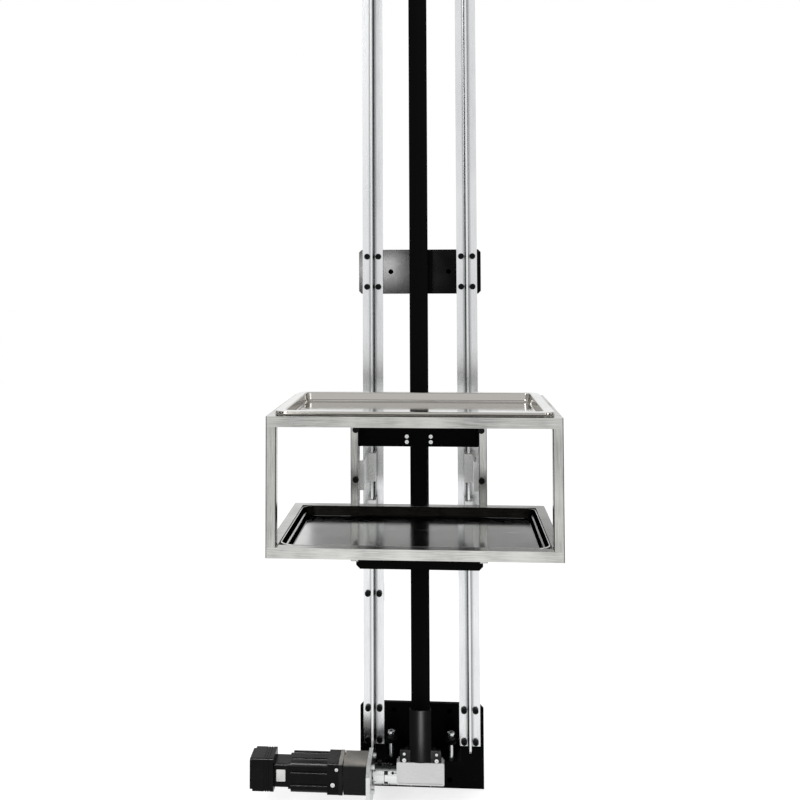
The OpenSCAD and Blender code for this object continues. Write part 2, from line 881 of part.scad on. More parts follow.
// Space inside the closed belt, drawn as (Y, Z), with the teeth of both runs left out
module belt_inside() {
    r = belt_in_r;
    z0 = drive_z + (belt_run - belt_teeth * tooth_pitch) / 2;
    tooth = [[r, 0.22], [r - tooth_h, 0.34], [r - tooth_h, 0.66], [r, 0.78]];
    side = [for (i = [0:belt_teeth - 1], at = tooth) [at[0], z0 + (i + at[1]) * tooth_pitch]];
    edge = concat([[r, drive_z]], side, [[r, idler_z]]);
    translate([-drive_y, drive_z]) circle(r, $fn = 128);
    translate([-drive_y, idler_z]) circle(r, $fn = 128);
    translate([-drive_y, 0]) {
        polygon(concat(edge, [for (i = [len(edge) - 1:-1:0]) [-edge[i][0], edge[i][1]]]));
    }
}

// Closed belt: two toothed straight runs and half a turn round each pulley
module belt_loop() {
    plate_yz(-belt_w / 2, belt_w) difference() {
        union() {
            translate([-drive_y, drive_z]) circle(belt_out_r, $fn = 128);
            translate([-drive_y, idler_z]) circle(belt_out_r, $fn = 128);
            translate([-drive_y - belt_out_r, drive_z]) square([2 * belt_out_r, belt_run]);
        }
        belt_inside();
    }
}

module belt() {
    from_foot() color(rubber_black) belt_loop();
}

// Toothed pulley with two flanges, centred on its own middle along X
module pulley_x(bore) {
    rotate([0, 90, 0]) translate([0, 0, -pulley_w / 2]) difference() {
        union() {
            cylinder(r = pulley_flange_r, h = pulley_flange_t);
            translate([0, 0, pulley_flange_t - eps]) {
                linear_extrude(pulley_gap_w + 2 * eps) pulley_section();
            }
            translate([0, 0, pulley_w - pulley_flange_t]) {
                cylinder(r = pulley_flange_r, h = pulley_flange_t);
            }
        }
        translate([0, 0, -1]) cylinder(d = bore, h = pulley_w + 2);
    }
}

module pulley_section() {
    difference() {
        circle(pulley_r, $fn = 128);
        for (i = [0:pulley_teeth - 1]) {
            rotate(i * 360 / pulley_teeth) translate([pulley_r - tooth_h - 0.3, 0]) {
                polygon([
                    [0, -tooth_pitch * 0.17], [tooth_h + 2, -tooth_pitch * 0.27],
                    [tooth_h + 2, tooth_pitch * 0.27], [0, tooth_pitch * 0.17]
                ]);
            }
        }
    }
}

module idler_bracket() {
    foot_w = 24;
    foot_h = 90;
    from_foot() color(black_paint) difference() {
        both_sides() {
            plate_yz(cheek_x, cheek_t) polygon([
                [-plate_t, idler_z - foot_h / 2], [-drive_y - 6, idler_z - 18],
                [-drive_y - 20, idler_z - 8], [-drive_y - 20, idler_z + 8],
                [-drive_y - 6, idler_z + 18], [-plate_t, idler_z + foot_h / 2]
            ]);
            translate([cheek_x + cheek_t - eps, -plate_t - 5, idler_z - foot_h / 2]) {
                cube([foot_w, 5, foot_h]);
            }
        }
        both_sides() rod_x(cheek_x - 1, -drive_y, idler_z, shaft_d + 2 * bolt_gap, cheek_t + 2);
    }
}

module idler_axle() {
    reach = cheek_x + cheek_t;
    from_foot() color(zinc) translate([0, -drive_y, idler_z]) {
        rod_x(-reach - 2, 0, 0, shaft_d, 2 * reach + 4);
        rod_x(-reach - 8, 0, 0, shaft_d + 8, 8);
        rod_x(reach, 0, 0, shaft_d + 8, 8);
    }
}

module idler_pulley() {
    seat_w = bearing_w + 2;
    from_foot() color(zinc) translate([0, -drive_y, idler_z]) difference() {
        pulley_x(shaft_d + 6);
        for (s = [-1, 1]) {
            rod_x(s * (pulley_w / 2 - seat_w / 2) - seat_w / 2 - (s < 0 ? 1 : 0), 0, 0,
                bearing_d + 0.02, seat_w + 1);
        }
    }
}

module idler_bearings() {
    from_foot() color(polished_steel) {
        for (s = [-1, 1]) {
            bearing_x(s * (pulley_w / 2 - bearing_w / 2 - 2) - bearing_w / 2, -drive_y, idler_z,
                shaft_d + 2 * shaft_gap);
        }
    }
}

module output_shaft() {
    from_foot() color(polished_steel) {
        rod_x(motor_plate_x - 13, -drive_y, drive_z, output_d, coupling_x0 + hub_l - motor_plate_x + 13);
    }
}

module drive_shaft() {
    x0 = coupling_x0 + hub_l + spider_l;
    x1 = cheek_x + cheek_t + boss_l + 2;
    from_foot() color(polished_steel) rod_x(x0, -drive_y, drive_z, shaft_d, x1 - x0);
}

module drive_pulley() {
    from_foot() color(zinc) translate([0, -drive_y, drive_z]) pulley_x(shaft_d + 0.02);
}

// Gaps between the three jaws of one coupling half, drawn as sectors
module jaw_gaps(turn) {
    reach = coupling_d;
    for (a = [turn:120:turn + 240]) {
        rotate(a) polygon([[0, 0], [reach, -reach * tan(jaw_gap_a)], [reach, reach * tan(jaw_gap_a)]]);
    }
}

// Coupling half with its jaws on +X: a hub with a slit and a round groove
module coupling_hub(bore) {
    r = coupling_d / 2;
    difference() {
        rod_x(0, 0, 0, coupling_d, hub_l + jaw_l);
        rod_x(-1, 0, 0, bore + 0.02, hub_l + jaw_l + 2);
        rod_x(hub_l, 0, 0, 2 * jaw_bore_r, jaw_l + 1);
        plate_yz(hub_l, jaw_l + 1) jaw_gaps(hub_turn);
        // slit that the clamp screw closes
        translate([-1, -0.75, bore / 2 - 1]) cube([hub_l * 0.75 + 1, 1.5, coupling_d]);
        translate([hub_l * 0.8, 0, 0]) hub_groove();
        rod_z(hub_screw_x, 0, r - 5, 5 + 2 * bolt_gap, 10);
    }
}

module hub_groove() {
    rotate([0, 90, 0]) difference() {
        cylinder(d = coupling_d + 2, h = 2);
        translate([0, 0, -1]) cylinder(d = coupling_d - 2, h = 4);
    }
}

module coupling_hub_motor() {
    from_foot() color(zinc) translate([coupling_x0, -drive_y, drive_z]) coupling_hub(output_d);
}

module coupling_hub_shaft() {
    from_foot() color(zinc) translate([coupling_x0 + coupling_l, -drive_y, drive_z]) {
        rotate([hub_turn, 0, 0]) mirror([1, 0, 0]) coupling_hub(shaft_d);
    }
}

// Rubber star between the jaws
module coupling_spider() {
    r = coupling_d / 2;
    from_foot() color(rubber_black) translate([coupling_x0 + hub_l + 0.5, -drive_y, drive_z]) {
        plate_yz(0, spider_l - 1) difference() {
            union() {
                circle(jaw_bore_r - 0.5);
                for (a = [30:60:330]) {
                    rotate(a) translate([0, -spider_arm / 2]) square([r - 0.4, spider_arm]);
                }
            }
            circle(jaw_bore_r * 0.4);
        }
    }
}

module coupling_screws() {
    r = coupling_d / 2;
    from_foot() color(zinc) translate([coupling_x0, -drive_y, drive_z]) {
        // the motor half's cap screw stands out, the shaft half's is flush
        difference() {
            union() {
                rod_z(hub_screw_x, 0, r - 5, 5, 6);
                rod_z(hub_screw_x, 0, r + 0.5, 8.5, 5);
            }
            translate([hub_screw_x, 0, r + 3]) cylinder(d = 4.6, h = 4, $fn = 6);
        }
        translate([coupling_l - hub_screw_x, 0, 0]) rotate([hub_turn, 0, 0]) difference() {
            rod_z(0, 0, r - 5, 5, 5.5);
            translate([0, 0, r - 1.5]) cylinder(d = 2.6, h = 4, $fn = 6);
        }
    }
}

// Channel section of a crossbar, open towards the wall, with holes
module crossbar(z, foot_cut, top_cut) {
    w = crossbar_w;
    y = carriage_y;
    difference() {
        union() {
            plate_xz(y + crossbar_t, crossbar_t) {
                wall_outline(w, z - crossbar_h / 2, crossbar_h, top_cut, foot_cut);
            }
            for (s = [-1, 1]) {
                translate([-w / 2 + foot_cut, y + eps, z + s * (crossbar_h - crossbar_t) / 2 - crossbar_t / 2]) {
                    cube([w - 2 * foot_cut, crossbar_d - eps, crossbar_t]);
                }
            }
        }
        // notches that let the belt through the two lips
        translate([-belt_w / 2 - 3, web_y + 2, z - crossbar_h]) {
            cube([belt_w + 6, crossbar_d, 2 * crossbar_h]);
        }
    }
}

module upper_crossbar() {
    from_foot() color(black_paint) difference() {
        crossbar(upper_z, 3, 3);
        clamp_places(clamp_upper_z) rod_y(0, far, 0, clamp_screw_d + 2 * bolt_gap, 2 * far);
        upright_bolt_places() {
            rod_y(0, carriage_y + far, upright_bolt_top, upright_bolt_d + 2 * bolt_gap, far + far);
        }
    }
}

module lower_crossbar() {
    from_foot() color(black_paint) difference() {
        crossbar(lower_z, 8, 3);
        clamp_places(clamp_lower_z) rod_y(0, far, 0, clamp_screw_d + 2 * bolt_gap, 2 * far);
        upright_bolt_places() {
            rod_y(0, carriage_y + far, upright_bolt_foot, upright_bolt_d + 2 * bolt_gap, far + far);
        }
    }
}

// Heights of the bolts in each upright, from the lowest
upright_bolt_foot = upright_foot + 16;
upright_bolt_low = lower_shoe_z + shoe_len / 2;
upright_bolt_high = upper_shoe_z + shoe_len / 2;
upright_bolt_top = upper_z + 10;

module upright_bolt_places() {
    for (sx = [-1, 1]) {
        translate([sx * (upright_dx - 6) / 2, 0, 0]) children();
    }
}

// Where the four screws of a belt clamp sit about the height z
module clamp_places(z) {
    for (sx = [-1, 1], sz = [-1, 1]) {
        translate([sx * clamp_dx / 2, 0, z + sz * clamp_dz / 2]) children();
    }
}

module centre_post() {
    z0 = lower_z + crossbar_h / 2;
    z1 = upper_z - crossbar_h / 2;
    from_foot() color(black_paint) translate([0, carriage_y, z0]) {
        linear_extrude(z1 - z0) difference() {
            translate([0, post_d / 2]) round_rect(post_w, post_d, 1.5);
            translate([-post_w / 2 + post_x_wall, post_x_wall]) {
                square([post_w - 2 * post_x_wall, post_d]);
            }
        }
    }
}

module clamp_blocks() {
    from_foot() color(motor_black) for (z = [clamp_upper_z, clamp_lower_z]) {
        difference() {
            plate_xz(block_y, block_t) translate([0, z]) round_rect(clamp_w, clamp_h, 3);
            clamp_places(z) rod_y(0, far, 0, clamp_screw_d + 2 * bolt_gap, 2 * far);
        }
    }
}

module clamp_plates() {
    from_foot() color(zinc) for (z = [clamp_upper_z, clamp_lower_z]) {
        difference() {
            plate_xz(clamp_plate_y + clamp_plate_t, clamp_plate_t) {
                translate([0, z]) round_rect(clamp_w, clamp_h, 3);
            }
            clamp_places(z) rod_y(0, far, 0, clamp_screw_d + 2 * bolt_gap, 2 * far);
        }
    }
}

module clamp_screws() {
    from_foot() color(zinc) for (z = [clamp_upper_z, clamp_lower_z]) {
        clamp_places(z) translate([0, carriage_y, 0]) {
            cap_bolt_y(clamp_screw_d, clamp_plate_y + clamp_plate_t - carriage_y);
        }
    }
}

module upright(side) {
    from_foot() color(stainless) difference() {
        translate([side * upright_dx / 2, carriage_y - upright_d / 2, upright_foot]) {
            linear_extrude(upright_top - upright_foot) round_rect(upright_w, upright_d, upright_r);
        }
        upright_bolt_places() {
            for (z = [upright_bolt_foot, upright_bolt_low, upright_bolt_high, upright_bolt_top]) {
                rod_y(0, far, z, upright_bolt_d + 2 * bolt_gap, 2 * far);
            }
        }
    }
}

module upright_left() {
    upright(-1);
}

module upright_right() {
    upright(1);
}

module upright_bolts() {
    from_foot() color(rubber_black) upright_bolt_places() {
        for (z = [upright_bolt_foot, upright_bolt_top]) {
            translate([0, upright_y, z]) cap_bolt_y(upright_bolt_d, upright_d + crossbar_t);
        }
        for (z = [upright_bolt_low, upright_bolt_high]) {
            translate([0, upright_y, z]) cap_bolt_y(upright_bolt_d, upright_d + shoe_bracket_t);
        }
    }
}

// Angle bracket that carries one guide shoe behind an upright
module shoe_bracket(z0, bolt_z) {
    t = shoe_bracket_t;
    front_w = upright_dx / 2 + upright_w / 2 - bracket_in_x;
    difference() {
        union() {
            translate([bracket_in_x, carriage_y, z0]) cube([front_w, t, shoe_len]);
            translate([bracket_in_x, carriage_y, z0]) cube([t, shoe_back_y - 6 - carriage_y, shoe_len]);
        }
        rod_y((upright_dx - 6) / 2, far, bolt_z, upright_bolt_d + 2 * bolt_gap, 2 * far);
        shoe_screw_places(z0) rod_x(bracket_in_x - 1, 0, 0, 4 + 2 * bolt_gap, t + 2);
    }
}

// Where the two screws of a guide shoe enter its housing's side
module shoe_screw_places(z0) {
    for (s = [-1, 1]) {
        translate([0, housing_y + 8, z0 + shoe_len / 2 + s * shoe_len / 3.2]) children();
    }
}

module shoe_brackets() {
    from_foot() color(zinc) both_sides() {
        shoe_bracket(upper_shoe_z, upright_bolt_high);
        shoe_bracket(lower_shoe_z, upright_bolt_low);
    }
}

// Outline of a shoe part about its rail's blade, drawn as (X, Y)
module shoe_section(w, y0, inner_w, inner_y) {
    translate([rail_gauge / 2, 0]) difference() {
        translate([-w / 2, y0]) square([w, shoe_back_y - y0]);
        translate([-inner_w / 2, inner_y]) square([inner_w, far]);
    }
}

module shoe_housings() {
    from_foot() color(zinc) both_sides() for (z = [upper_shoe_z, lower_shoe_z]) difference() {
        translate([0, 0, z]) linear_extrude(shoe_len) {
            shoe_section(housing_w, housing_y, liner_w + 0.04, liner_y - 0.02);
        }
        shoe_screw_places(z) {
            rod_x(bracket_in_x - shoe_t - 1, 0, 0, 4 + 2 * bolt_gap, shoe_t + 2);
        }
    }
}

module shoe_liners() {
    from_foot() color(nylon) both_sides() for (z = [upper_shoe_z, lower_shoe_z]) {
        translate([0, 0, z + 1]) linear_extrude(shoe_len - 2) {
            shoe_section(liner_w, liner_y, slot_w, slot_y);
        }
    }
}

module shoe_screws() {
    from_foot() color(rubber_black) both_sides() for (z = [upper_shoe_z, lower_shoe_z]) {
        shoe_screw_places(z) {
            rod_x(bracket_in_x + shoe_bracket_t, 0, 0, 7, 3);
            rod_x(bracket_in_x - shoe_t + 0.5, 0, 0, 4, shoe_bracket_t + shoe_t);
        }
    }
}

// Rectangular frame of square tube with its underside at z
module tube_frame(z) {
    translate([0, frame_mid_y, z]) linear_extrude(tube) difference() {
        round_rect(car_w, car_d, tube_r);
        square([opening_w, opening_d], center = true);
    }
}

module top_frame() {
    from_foot() color(stainless) tube_frame(car_top - tube);
}

module bottom_frame() {
    from_foot() color(stainless) tube_frame(car_bottom);
}

module front_posts() {
    z0 = car_bottom + tube;
    from_foot() color(stainless) both_sides() {
        translate([(car_w - tube) / 2, frame_front_y + tube / 2, z0]) {
            linear_extrude(car_top - tube - z0) round_rect(tube, tube, tube_r);
        }
    }
}

// Ledges inside the lower frame that its tray's rim rests on
module tray_ledges() {
    from_foot() color(stainless) both_sides() {
        translate([opening_w / 2 - ledge_w, frame_mid_y - opening_d / 2, ledge_top - ledge_t]) {
            cube([ledge_w, opening_d, ledge_t]);
        }
    }
}

// Pressed tray: turned-down rim, flat rim, walls and floor. top_z is its rim.
module tray(w, d, top_z) {
    in_w = w - 2 * rim_w;
    in_d = d - 2 * rim_w;
    in_r = tray_r - rim_w + 6;
    t = tray_wall;
    translate([0, frame_mid_y, top_z]) {
        translate([0, 0, -rim_h]) linear_extrude(rim_h) difference() {
            round_rect(w, d, tray_r);
            round_rect(w - 2 * t, d - 2 * t, tray_r - t);
        }
        translate([0, 0, -t]) linear_extrude(t) difference() {
            round_rect(w, d, tray_r);
            round_rect(in_w, in_d, in_r);
        }
        translate([0, 0, -tray_depth]) linear_extrude(tray_depth) difference() {
            round_rect(in_w + 2 * t, in_d + 2 * t, in_r + t);
            round_rect(in_w, in_d, in_r);
        }
        translate([0, 0, -tray_depth - t + eps]) linear_extrude(t) {
            round_rect(in_w + 2 * t, in_d + 2 * t, in_r + t);
        }
    }
}

module top_tray() {
    from_foot() color(stainless) {
        tray(car_w - 2 * tray_inset, car_d - 2 * tray_inset, car_top + rest_gap + rim_h);
    }
}

module bottom_tray() {
    from_foot() color(stainless) tray(lower_tray_w, lower_tray_d, bottom_rail_top);
}

base_plate();
wall_bracket();
head_plate();
rail_left();
rail_right();
rail_pad();
rail_bolts();
drive_bracket();
tension_screws();
tension_nuts();
motor_plate();
pulley_cover();
belt_guard();
cover_screws();
bearings();
gearbox();
motor_barrel();
motor_neck();
encoder_cover();
motor_connector();
motor_screws();
belt();
idler_bracket();
idler_axle();
output_shaft();
drive_shaft();
drive_pulley();
coupling_hub_motor();
coupling_hub_shaft();
coupling_spider();
coupling_screws();
idler_pulley();
idler_bearings();
upper_crossbar();
lower_crossbar();
centre_post();
clamp_blocks();
clamp_plates();
clamp_screws();
upright_left();
upright_right();
upright_bolts();
shoe_brackets();
shoe_housings();
shoe_liners();
shoe_screws();
top_frame();
bottom_frame();
front_posts();
tray_ledges();
top_tray();
bottom_tray();
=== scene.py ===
"""Looks of a belt-driven dumbwaiter lift: a wall mast, its belt drive and a two-tier stainless car.

Lengths are in metres in the shared frame: +X along the wall, +Y into the wall, +Z up, with the
origin at the centre of the base plate's wall holes. Sizes that end in _mm are in millimetres.
"""

from __future__ import annotations

import json
import logging
import math
from collections.abc import Callable, Sequence
from dataclasses import dataclass, field
from enum import Enum
from typing import Any

import bmesh
import bpy
from bpy.types import Material, Node, NodeSocket, NodeTree, Object, World
from mathutils import Matrix, Vector

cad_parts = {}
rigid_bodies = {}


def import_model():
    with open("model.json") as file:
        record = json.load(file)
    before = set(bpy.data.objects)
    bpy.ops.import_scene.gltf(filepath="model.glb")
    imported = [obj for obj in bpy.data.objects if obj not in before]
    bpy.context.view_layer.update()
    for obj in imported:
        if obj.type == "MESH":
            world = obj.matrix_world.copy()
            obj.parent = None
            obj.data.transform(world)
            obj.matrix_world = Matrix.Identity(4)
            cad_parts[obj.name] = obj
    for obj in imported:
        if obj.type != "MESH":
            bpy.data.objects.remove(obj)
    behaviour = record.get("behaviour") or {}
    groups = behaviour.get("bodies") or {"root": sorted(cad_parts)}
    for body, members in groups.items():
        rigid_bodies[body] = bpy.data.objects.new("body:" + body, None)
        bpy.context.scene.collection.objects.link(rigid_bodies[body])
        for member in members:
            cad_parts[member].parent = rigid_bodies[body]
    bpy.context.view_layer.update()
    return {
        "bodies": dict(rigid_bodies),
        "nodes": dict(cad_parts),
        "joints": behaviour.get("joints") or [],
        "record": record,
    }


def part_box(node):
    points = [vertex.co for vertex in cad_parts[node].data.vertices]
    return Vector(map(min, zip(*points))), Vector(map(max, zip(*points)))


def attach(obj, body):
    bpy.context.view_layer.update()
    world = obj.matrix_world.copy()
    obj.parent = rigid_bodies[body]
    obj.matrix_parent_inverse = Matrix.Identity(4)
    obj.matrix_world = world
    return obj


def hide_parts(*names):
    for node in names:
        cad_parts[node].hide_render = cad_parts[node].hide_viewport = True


LOG = logging.getLogger("dumbwaiter")
MM = 0.001
PHOTO_SIDE_PX = 800
SAME_POINT_M = 1e-6
BREAK_EDGES_FROM_DEG = 40
SHARP_EDGES_FROM_DEG = 38
X_AXIS = Vector((1.0, 0.0, 0.0))
Y_AXIS = Vector((0.0, 1.0, 0.0))
Z_AXIS = Vector((0.0, 0.0, 1.0))

# Where a mask starts and where it is full, as values of what it is made from
WHOLE = (0.0, 1.0)
NOISE_MIDDLE = (0.3, 0.7)
HANDLING_MARKS = (0.15, 0.4)
DEEP_SCRATCHES = (0.66, 0.74)
# Masks by which way a face looks: they place painted shade and painted reflections, and dust together with
# painted top light
LOOKS_SIDEWAYS = (0.6, 0.9)
LOOKS_UP_OR_DOWN = (0.5, 0.85)
LIES_LEVEL = (0.7, 0.93)
CATCHES_DUST_AND_LIGHT = (0.35, 0.95)
TUBE_EDGE = (0.85, 0.985)


def linear(hex_colour: str) -> tuple[float, float, float, float]:
    """Turns an sRGB hex colour into linear RGBA.

    Args:
        hex_colour: a colour such as "#c9cbcc".

    Returns:
        Linear red, green, blue and an alpha of 1.
    """
    channels = [int(hex_colour[i:i + 2], 16) / 255 for i in (1, 3, 5)]
    red, green, blue = (c / 12.92 if c <= 0.04045 else ((c + 0.055) / 1.055) ** 2.4 for c in channels)
    return red, green, blue, 1.0


def emptied(owner: Material | World) -> NodeTree:
    """Switches on the nodes of a material or the world and clears them.

    Args:
        owner: the material or the world.

    Returns:
        Its node tree.
    """
    owner.use_nodes = True
    owner.node_tree.nodes.clear()
    return owner.node_tree


def add_node(
    tree: NodeTree,
    kind: str,
    settings: dict[str, Any] | None = None,
    values: dict[str | int, Any] | None = None,
    links: dict[str | int, NodeSocket] | None = None,
) -> Node:
    """Adds one shader node with its settings, socket values and incoming links.

    Args:
        tree: the node tree that gets the node.
        kind: Blender's type name of the node.
        settings: attributes of the node itself.
        values: plain values of its input sockets.
        links: output sockets that feed its input sockets.

    Returns:
        The new node.
    """
    node = tree.nodes.new(kind)
    for name, value in (settings or {}).items():
        setattr(node, name, value)
    for name, value in (values or {}).items():
        node.inputs[name].default_value = value
    for name, socket in (links or {}).items():
        tree.links.new(socket, node.inputs[name])
    return node


class Grain(Enum):
    """Direction in which a metal was drawn, rolled or turned: a pattern's scale along X, Y and Z."""

    ALONG_X = (0.02, 1.0, 1.0)
    ALONG_Z = (1.0, 1.0, 0.02)
    ROUND_X = (1.0, 0.04, 0.04)
    EVEN = (1.0, 1.0, 1.0)


@dataclass
class Shader:
    """A node tree and its surface shader, with the steps that finishes are built from."""

    tree: NodeTree
    surface: Node | None = None

    def math(self, operation: str, *terms: NodeSocket | float) -> NodeSocket:
        """Adds one step of arithmetic.

        Args:
            operation: Blender's name of the step, such as MULTIPLY.
            terms: sockets or numbers, in order.

        Returns:
            Its result.
        """
        values = {i: term for i, term in enumerate(terms) if isinstance(term, float)}
        links = {i: term for i, term in enumerate(terms) if i not in values}
        return add_node(self.tree, "ShaderNodeMath", {"operation": operation}, values, links).outputs[0]

    def pattern(self, size_mm: float, grain: Grain, detail: float = 3.0) -> NodeSocket:
        """Adds a noise whose spots are size_mm across and drawn out along the grain.

        Args:
            size_mm: width of a spot on the real surface.
            grain: direction of the grain.
            detail: how many finer layers the noise has.

        Returns:
            The noise's grey output.
        """
        links = {"Vector": add_node(self.tree, "ShaderNodeTexCoord").outputs["Object"]}
        stretch = add_node(self.tree, "ShaderNodeMapping", values={"Scale": grain.value}, links=links)
        values = {"Scale": 1.0 / (size_mm * MM), "Detail": detail}
        links = {"Vector": stretch.outputs["Vector"]}
        return add_node(self.tree, "ShaderNodeTexNoise", values=values, links=links).outputs["Fac"]

    def mask(
        self, source: NodeSocket, limits: tuple[float, float] = NOISE_MIDDLE, most: float = 1.0,
        least: float = 0.0,
    ) -> NodeSocket:
        """Turns a pattern into a mask or an amount.

        Args:
            source: the pattern.
            limits: where in the pattern the mask starts and where it is full.
            most: what the mask gives where it is full.
            least: what it gives where it hasn't started.

        Returns:
            The mask.
        """
        values = {"From Min": limits[0], "From Max": limits[1], "To Min": least, "To Max": most}
        node = add_node(self.tree, "ShaderNodeMapRange", values=values, links={"Value": source})
        return node.outputs["Result"]

    def bump(self, source: NodeSocket, height_mm: float) -> None:
        """Adds a height pattern to what already shapes the surface's normal.

        Args:
            source: the height pattern.
            height_mm: how high its full value stands.
        """
        normal = self.surface.inputs["Normal"]
        values = {"Strength": 1.0, "Distance": height_mm * MM}
        node = add_node(self.tree, "ShaderNodeBump", values=values, links={"Height": source})
        if normal.links:
            self.tree.links.new(normal.links[0].from_socket, node.inputs["Normal"])
        self.tree.links.new(node.outputs["Normal"], normal)

    def tint(self, mask: NodeSocket, other: str) -> None:
        """Mixes a second colour into the base colour.

        Args:
            mask: how far the second colour covers, from 0 to 1.
            other: the second colour.
        """
        base = self.surface.inputs["Base Color"]
        values = {6: tuple(base.default_value), 7: linear(other)}
        mix = add_node(self.tree, "ShaderNodeMix", {"data_type": "RGBA"}, values, {0: mask})
        if base.links:
            self.tree.links.new(base.links[0].from_socket, mix.inputs[6])
        self.tree.links.new(mix.outputs[2], base)

    def normal(self, axis: str) -> NodeSocket:
        """Adds how far a face looks along an axis of the shared frame, from -1 to 1."""
        links = {"Vector": add_node(self.tree, "ShaderNodeNewGeometry").outputs["Normal"]}
        return add_node(self.tree, "ShaderNodeSeparateXYZ", links=links).outputs[axis]

    def facing(self, axis: str) -> NodeSocket:
        """Adds how far a face looks along an axis, one way or the other, from 0 to 1."""
        return self.math("ABSOLUTE", self.normal(axis))


@dataclass(frozen=True)
class Finish:
    """A surface: what the material is, how it was made and what that gives the eye."""

    name: str
    colour: str
    roughness: float
    specular: float = 0.5

    def material(self) -> Material:
        """Builds the material.

        Returns:
            The new material.
        """
        material = bpy.data.materials.new(self.name)
        tree = emptied(material)
        values = {
            "Base Color": linear(self.colour), "Roughness": self.roughness, "Specular IOR Level": self.specular,
        }
        surface = add_node(tree, "ShaderNodeBsdfPrincipled", values=values)
        add_node(tree, "ShaderNodeOutputMaterial", links={"Surface": surface.outputs["BSDF"]})
        self.work(Shader(tree, surface))
        return material

    def work(self, shader: Shader) -> None:
        """Adds the patterns, colours and relief of this kind of finish."""
        raise NotImplementedError


@dataclass(frozen=True)
class BareMetal(Finish):
    """Bare metal: a grain from drawing or brushing, fine scratches, and faint marks from handling."""

    shade: str = "#9a9c9e"
    shade_most: float = 0.4
    grain: Grain = Grain.EVEN
    grain_mm: float = 0.8
    relief_mm: float = 0.002
    cloud_mm: float = 120.0
    uneven: float = 0.04
    scratches: float = 0.12
    scratch_mm: float = 2.2
    wave_mm: float = 0.0
    wave_wide_mm: float = 75.0
    # The second colours below are painted shade or painted reflection, laid on faces by which way they look
    sides: str = ""
    edges: str = ""
    drawn: str = ""
    above: str = ""
    grazing: str = ""

    def work(self, shader: Shader) -> None:
        """Adds grain, scratches and handling marks, and painted shade or a painted dark reflection where a
        second colour is given.

        Args:
            shader: the material's nodes.
        """
        inputs = shader.surface.inputs
        inputs["Metallic"].default_value = 1.0
        # A dark grazing colour dims the reflections; on the lower tray's walls it is part of a painted dark
        # reflection
        if self.grazing:
            inputs["Specular Tint"].default_value = linear(self.grazing)
        lines = shader.pattern(self.grain_mm, self.grain)
        clouds = shader.pattern(self.cloud_mm, Grain.EVEN, 4.0)
        scored = shader.pattern(self.scratch_mm, self.grain, 8.0)
        marks = shader.math("MULTIPLY", lines, clouds)
        rough = shader.mask(marks, HANDLING_MARKS, self.roughness + self.uneven, self.roughness - self.uneven)
        scored = shader.mask(scored, DEEP_SCRATCHES, self.scratches)
        shader.tree.links.new(shader.math("ADD", rough, scored), inputs["Roughness"])
        shader.tint(shader.mask(marks, HANDLING_MARKS, self.shade_most), self.shade)
        shader.bump(lines, self.relief_mm)
        # Painted shade: a second colour on faces that look sideways, along X
        if self.sides:
            shader.tint(shader.mask(shader.facing("X"), LOOKS_SIDEWAYS), self.sides)
        # Painted shade: a second colour on rounded edges, where a face looks along no single axis
        if self.edges:
            flat = shader.math("MAXIMUM", shader.facing("X"), shader.facing("Y"))
            flat = shader.math("MAXIMUM", flat, shader.facing("Z"))
            shader.tint(shader.mask(flat, TUBE_EDGE, 0.0, 1.0), self.edges)
        # Painted reflection: a dark colour on faces that look up or down
        if self.above:
            shader.tint(shader.mask(shader.facing("Z"), LOOKS_UP_OR_DOWN), self.above)
        # Painted shade: a second colour on faces that stand upright
        if self.drawn:
            shader.tint(shader.mask(shader.facing("Z"), LIES_LEVEL, 0.0, 1.0), self.drawn)
        if self.wave_mm:
            shader.bump(shader.pattern(self.wave_wide_mm, Grain.EVEN, 0.5), self.wave_mm)


@dataclass(frozen=True)
class PaintedMetal(Finish):
    """Paint or powder coat on metal: orange peel from curing, and dust, most of it on top, which on the gearbox
    is also painted top light.
    """

    peel_mm: float = 1.6
    relief_mm: float = 0.02
    dust: str = "#2a2b2c"
    dust_most: float = 0.12
    dust_on_top: float = 0.2
    dust_least_share: float = 0.4
    cloud_mm: float = 45.0
    uneven: float = 0.06

    def work(self, shader: Shader) -> None:
        """Adds orange peel and dust, and on top faces dust that, where strong, is also painted top light.

        Args:
            shader: the material's nodes.
        """
        peel = shader.pattern(self.peel_mm, Grain.EVEN, 1.0)
        clouds = shader.pattern(self.cloud_mm, Grain.EVEN, 6.0)
        rough = shader.mask(clouds, NOISE_MIDDLE, self.roughness + self.uneven, self.roughness - self.uneven)
        shader.tree.links.new(rough, shader.surface.inputs["Roughness"])
        shader.tint(shader.mask(clouds, most=self.dust_most), self.dust)
        # Dust on upward faces; where it is strong, as on the gearbox, it is also painted top light
        least = self.dust_least_share * self.dust_on_top
        settled_dust_and_light = shader.mask(clouds, NOISE_MIDDLE, self.dust_on_top, least)
        upward = shader.mask(shader.normal("Z"), CATCHES_DUST_AND_LIGHT)
        shader.tint(shader.math("MULTIPLY", upward, settled_dust_and_light), self.dust)
        shader.bump(peel, self.relief_mm)


@dataclass(frozen=True)
class Moulded(Finish):
    """Moulded rubber, plastic or foil: a fine texture and a slightly uneven colour."""

    shade: str = "#d5d1c4"
    texture_mm: float = 0.6
    texture_detail: float = 1.0
    relief_mm: float = 0.01
    cloud_mm: float = 20.0
    cloud_grain: Grain = Grain.EVEN
    cloud_detail: float = 3.0
    shade_most: float = 0.5

    def work(self, shader: Shader) -> None:
        """Adds the texture and the uneven colour.

        Args:
            shader: the material's nodes.
        """
        texture = shader.pattern(self.texture_mm, Grain.EVEN, self.texture_detail)
        clouds = shader.pattern(self.cloud_mm, self.cloud_grain, self.cloud_detail)
        shader.tint(shader.mask(clouds, most=self.shade_most), self.shade)
        shader.bump(texture, self.relief_mm)


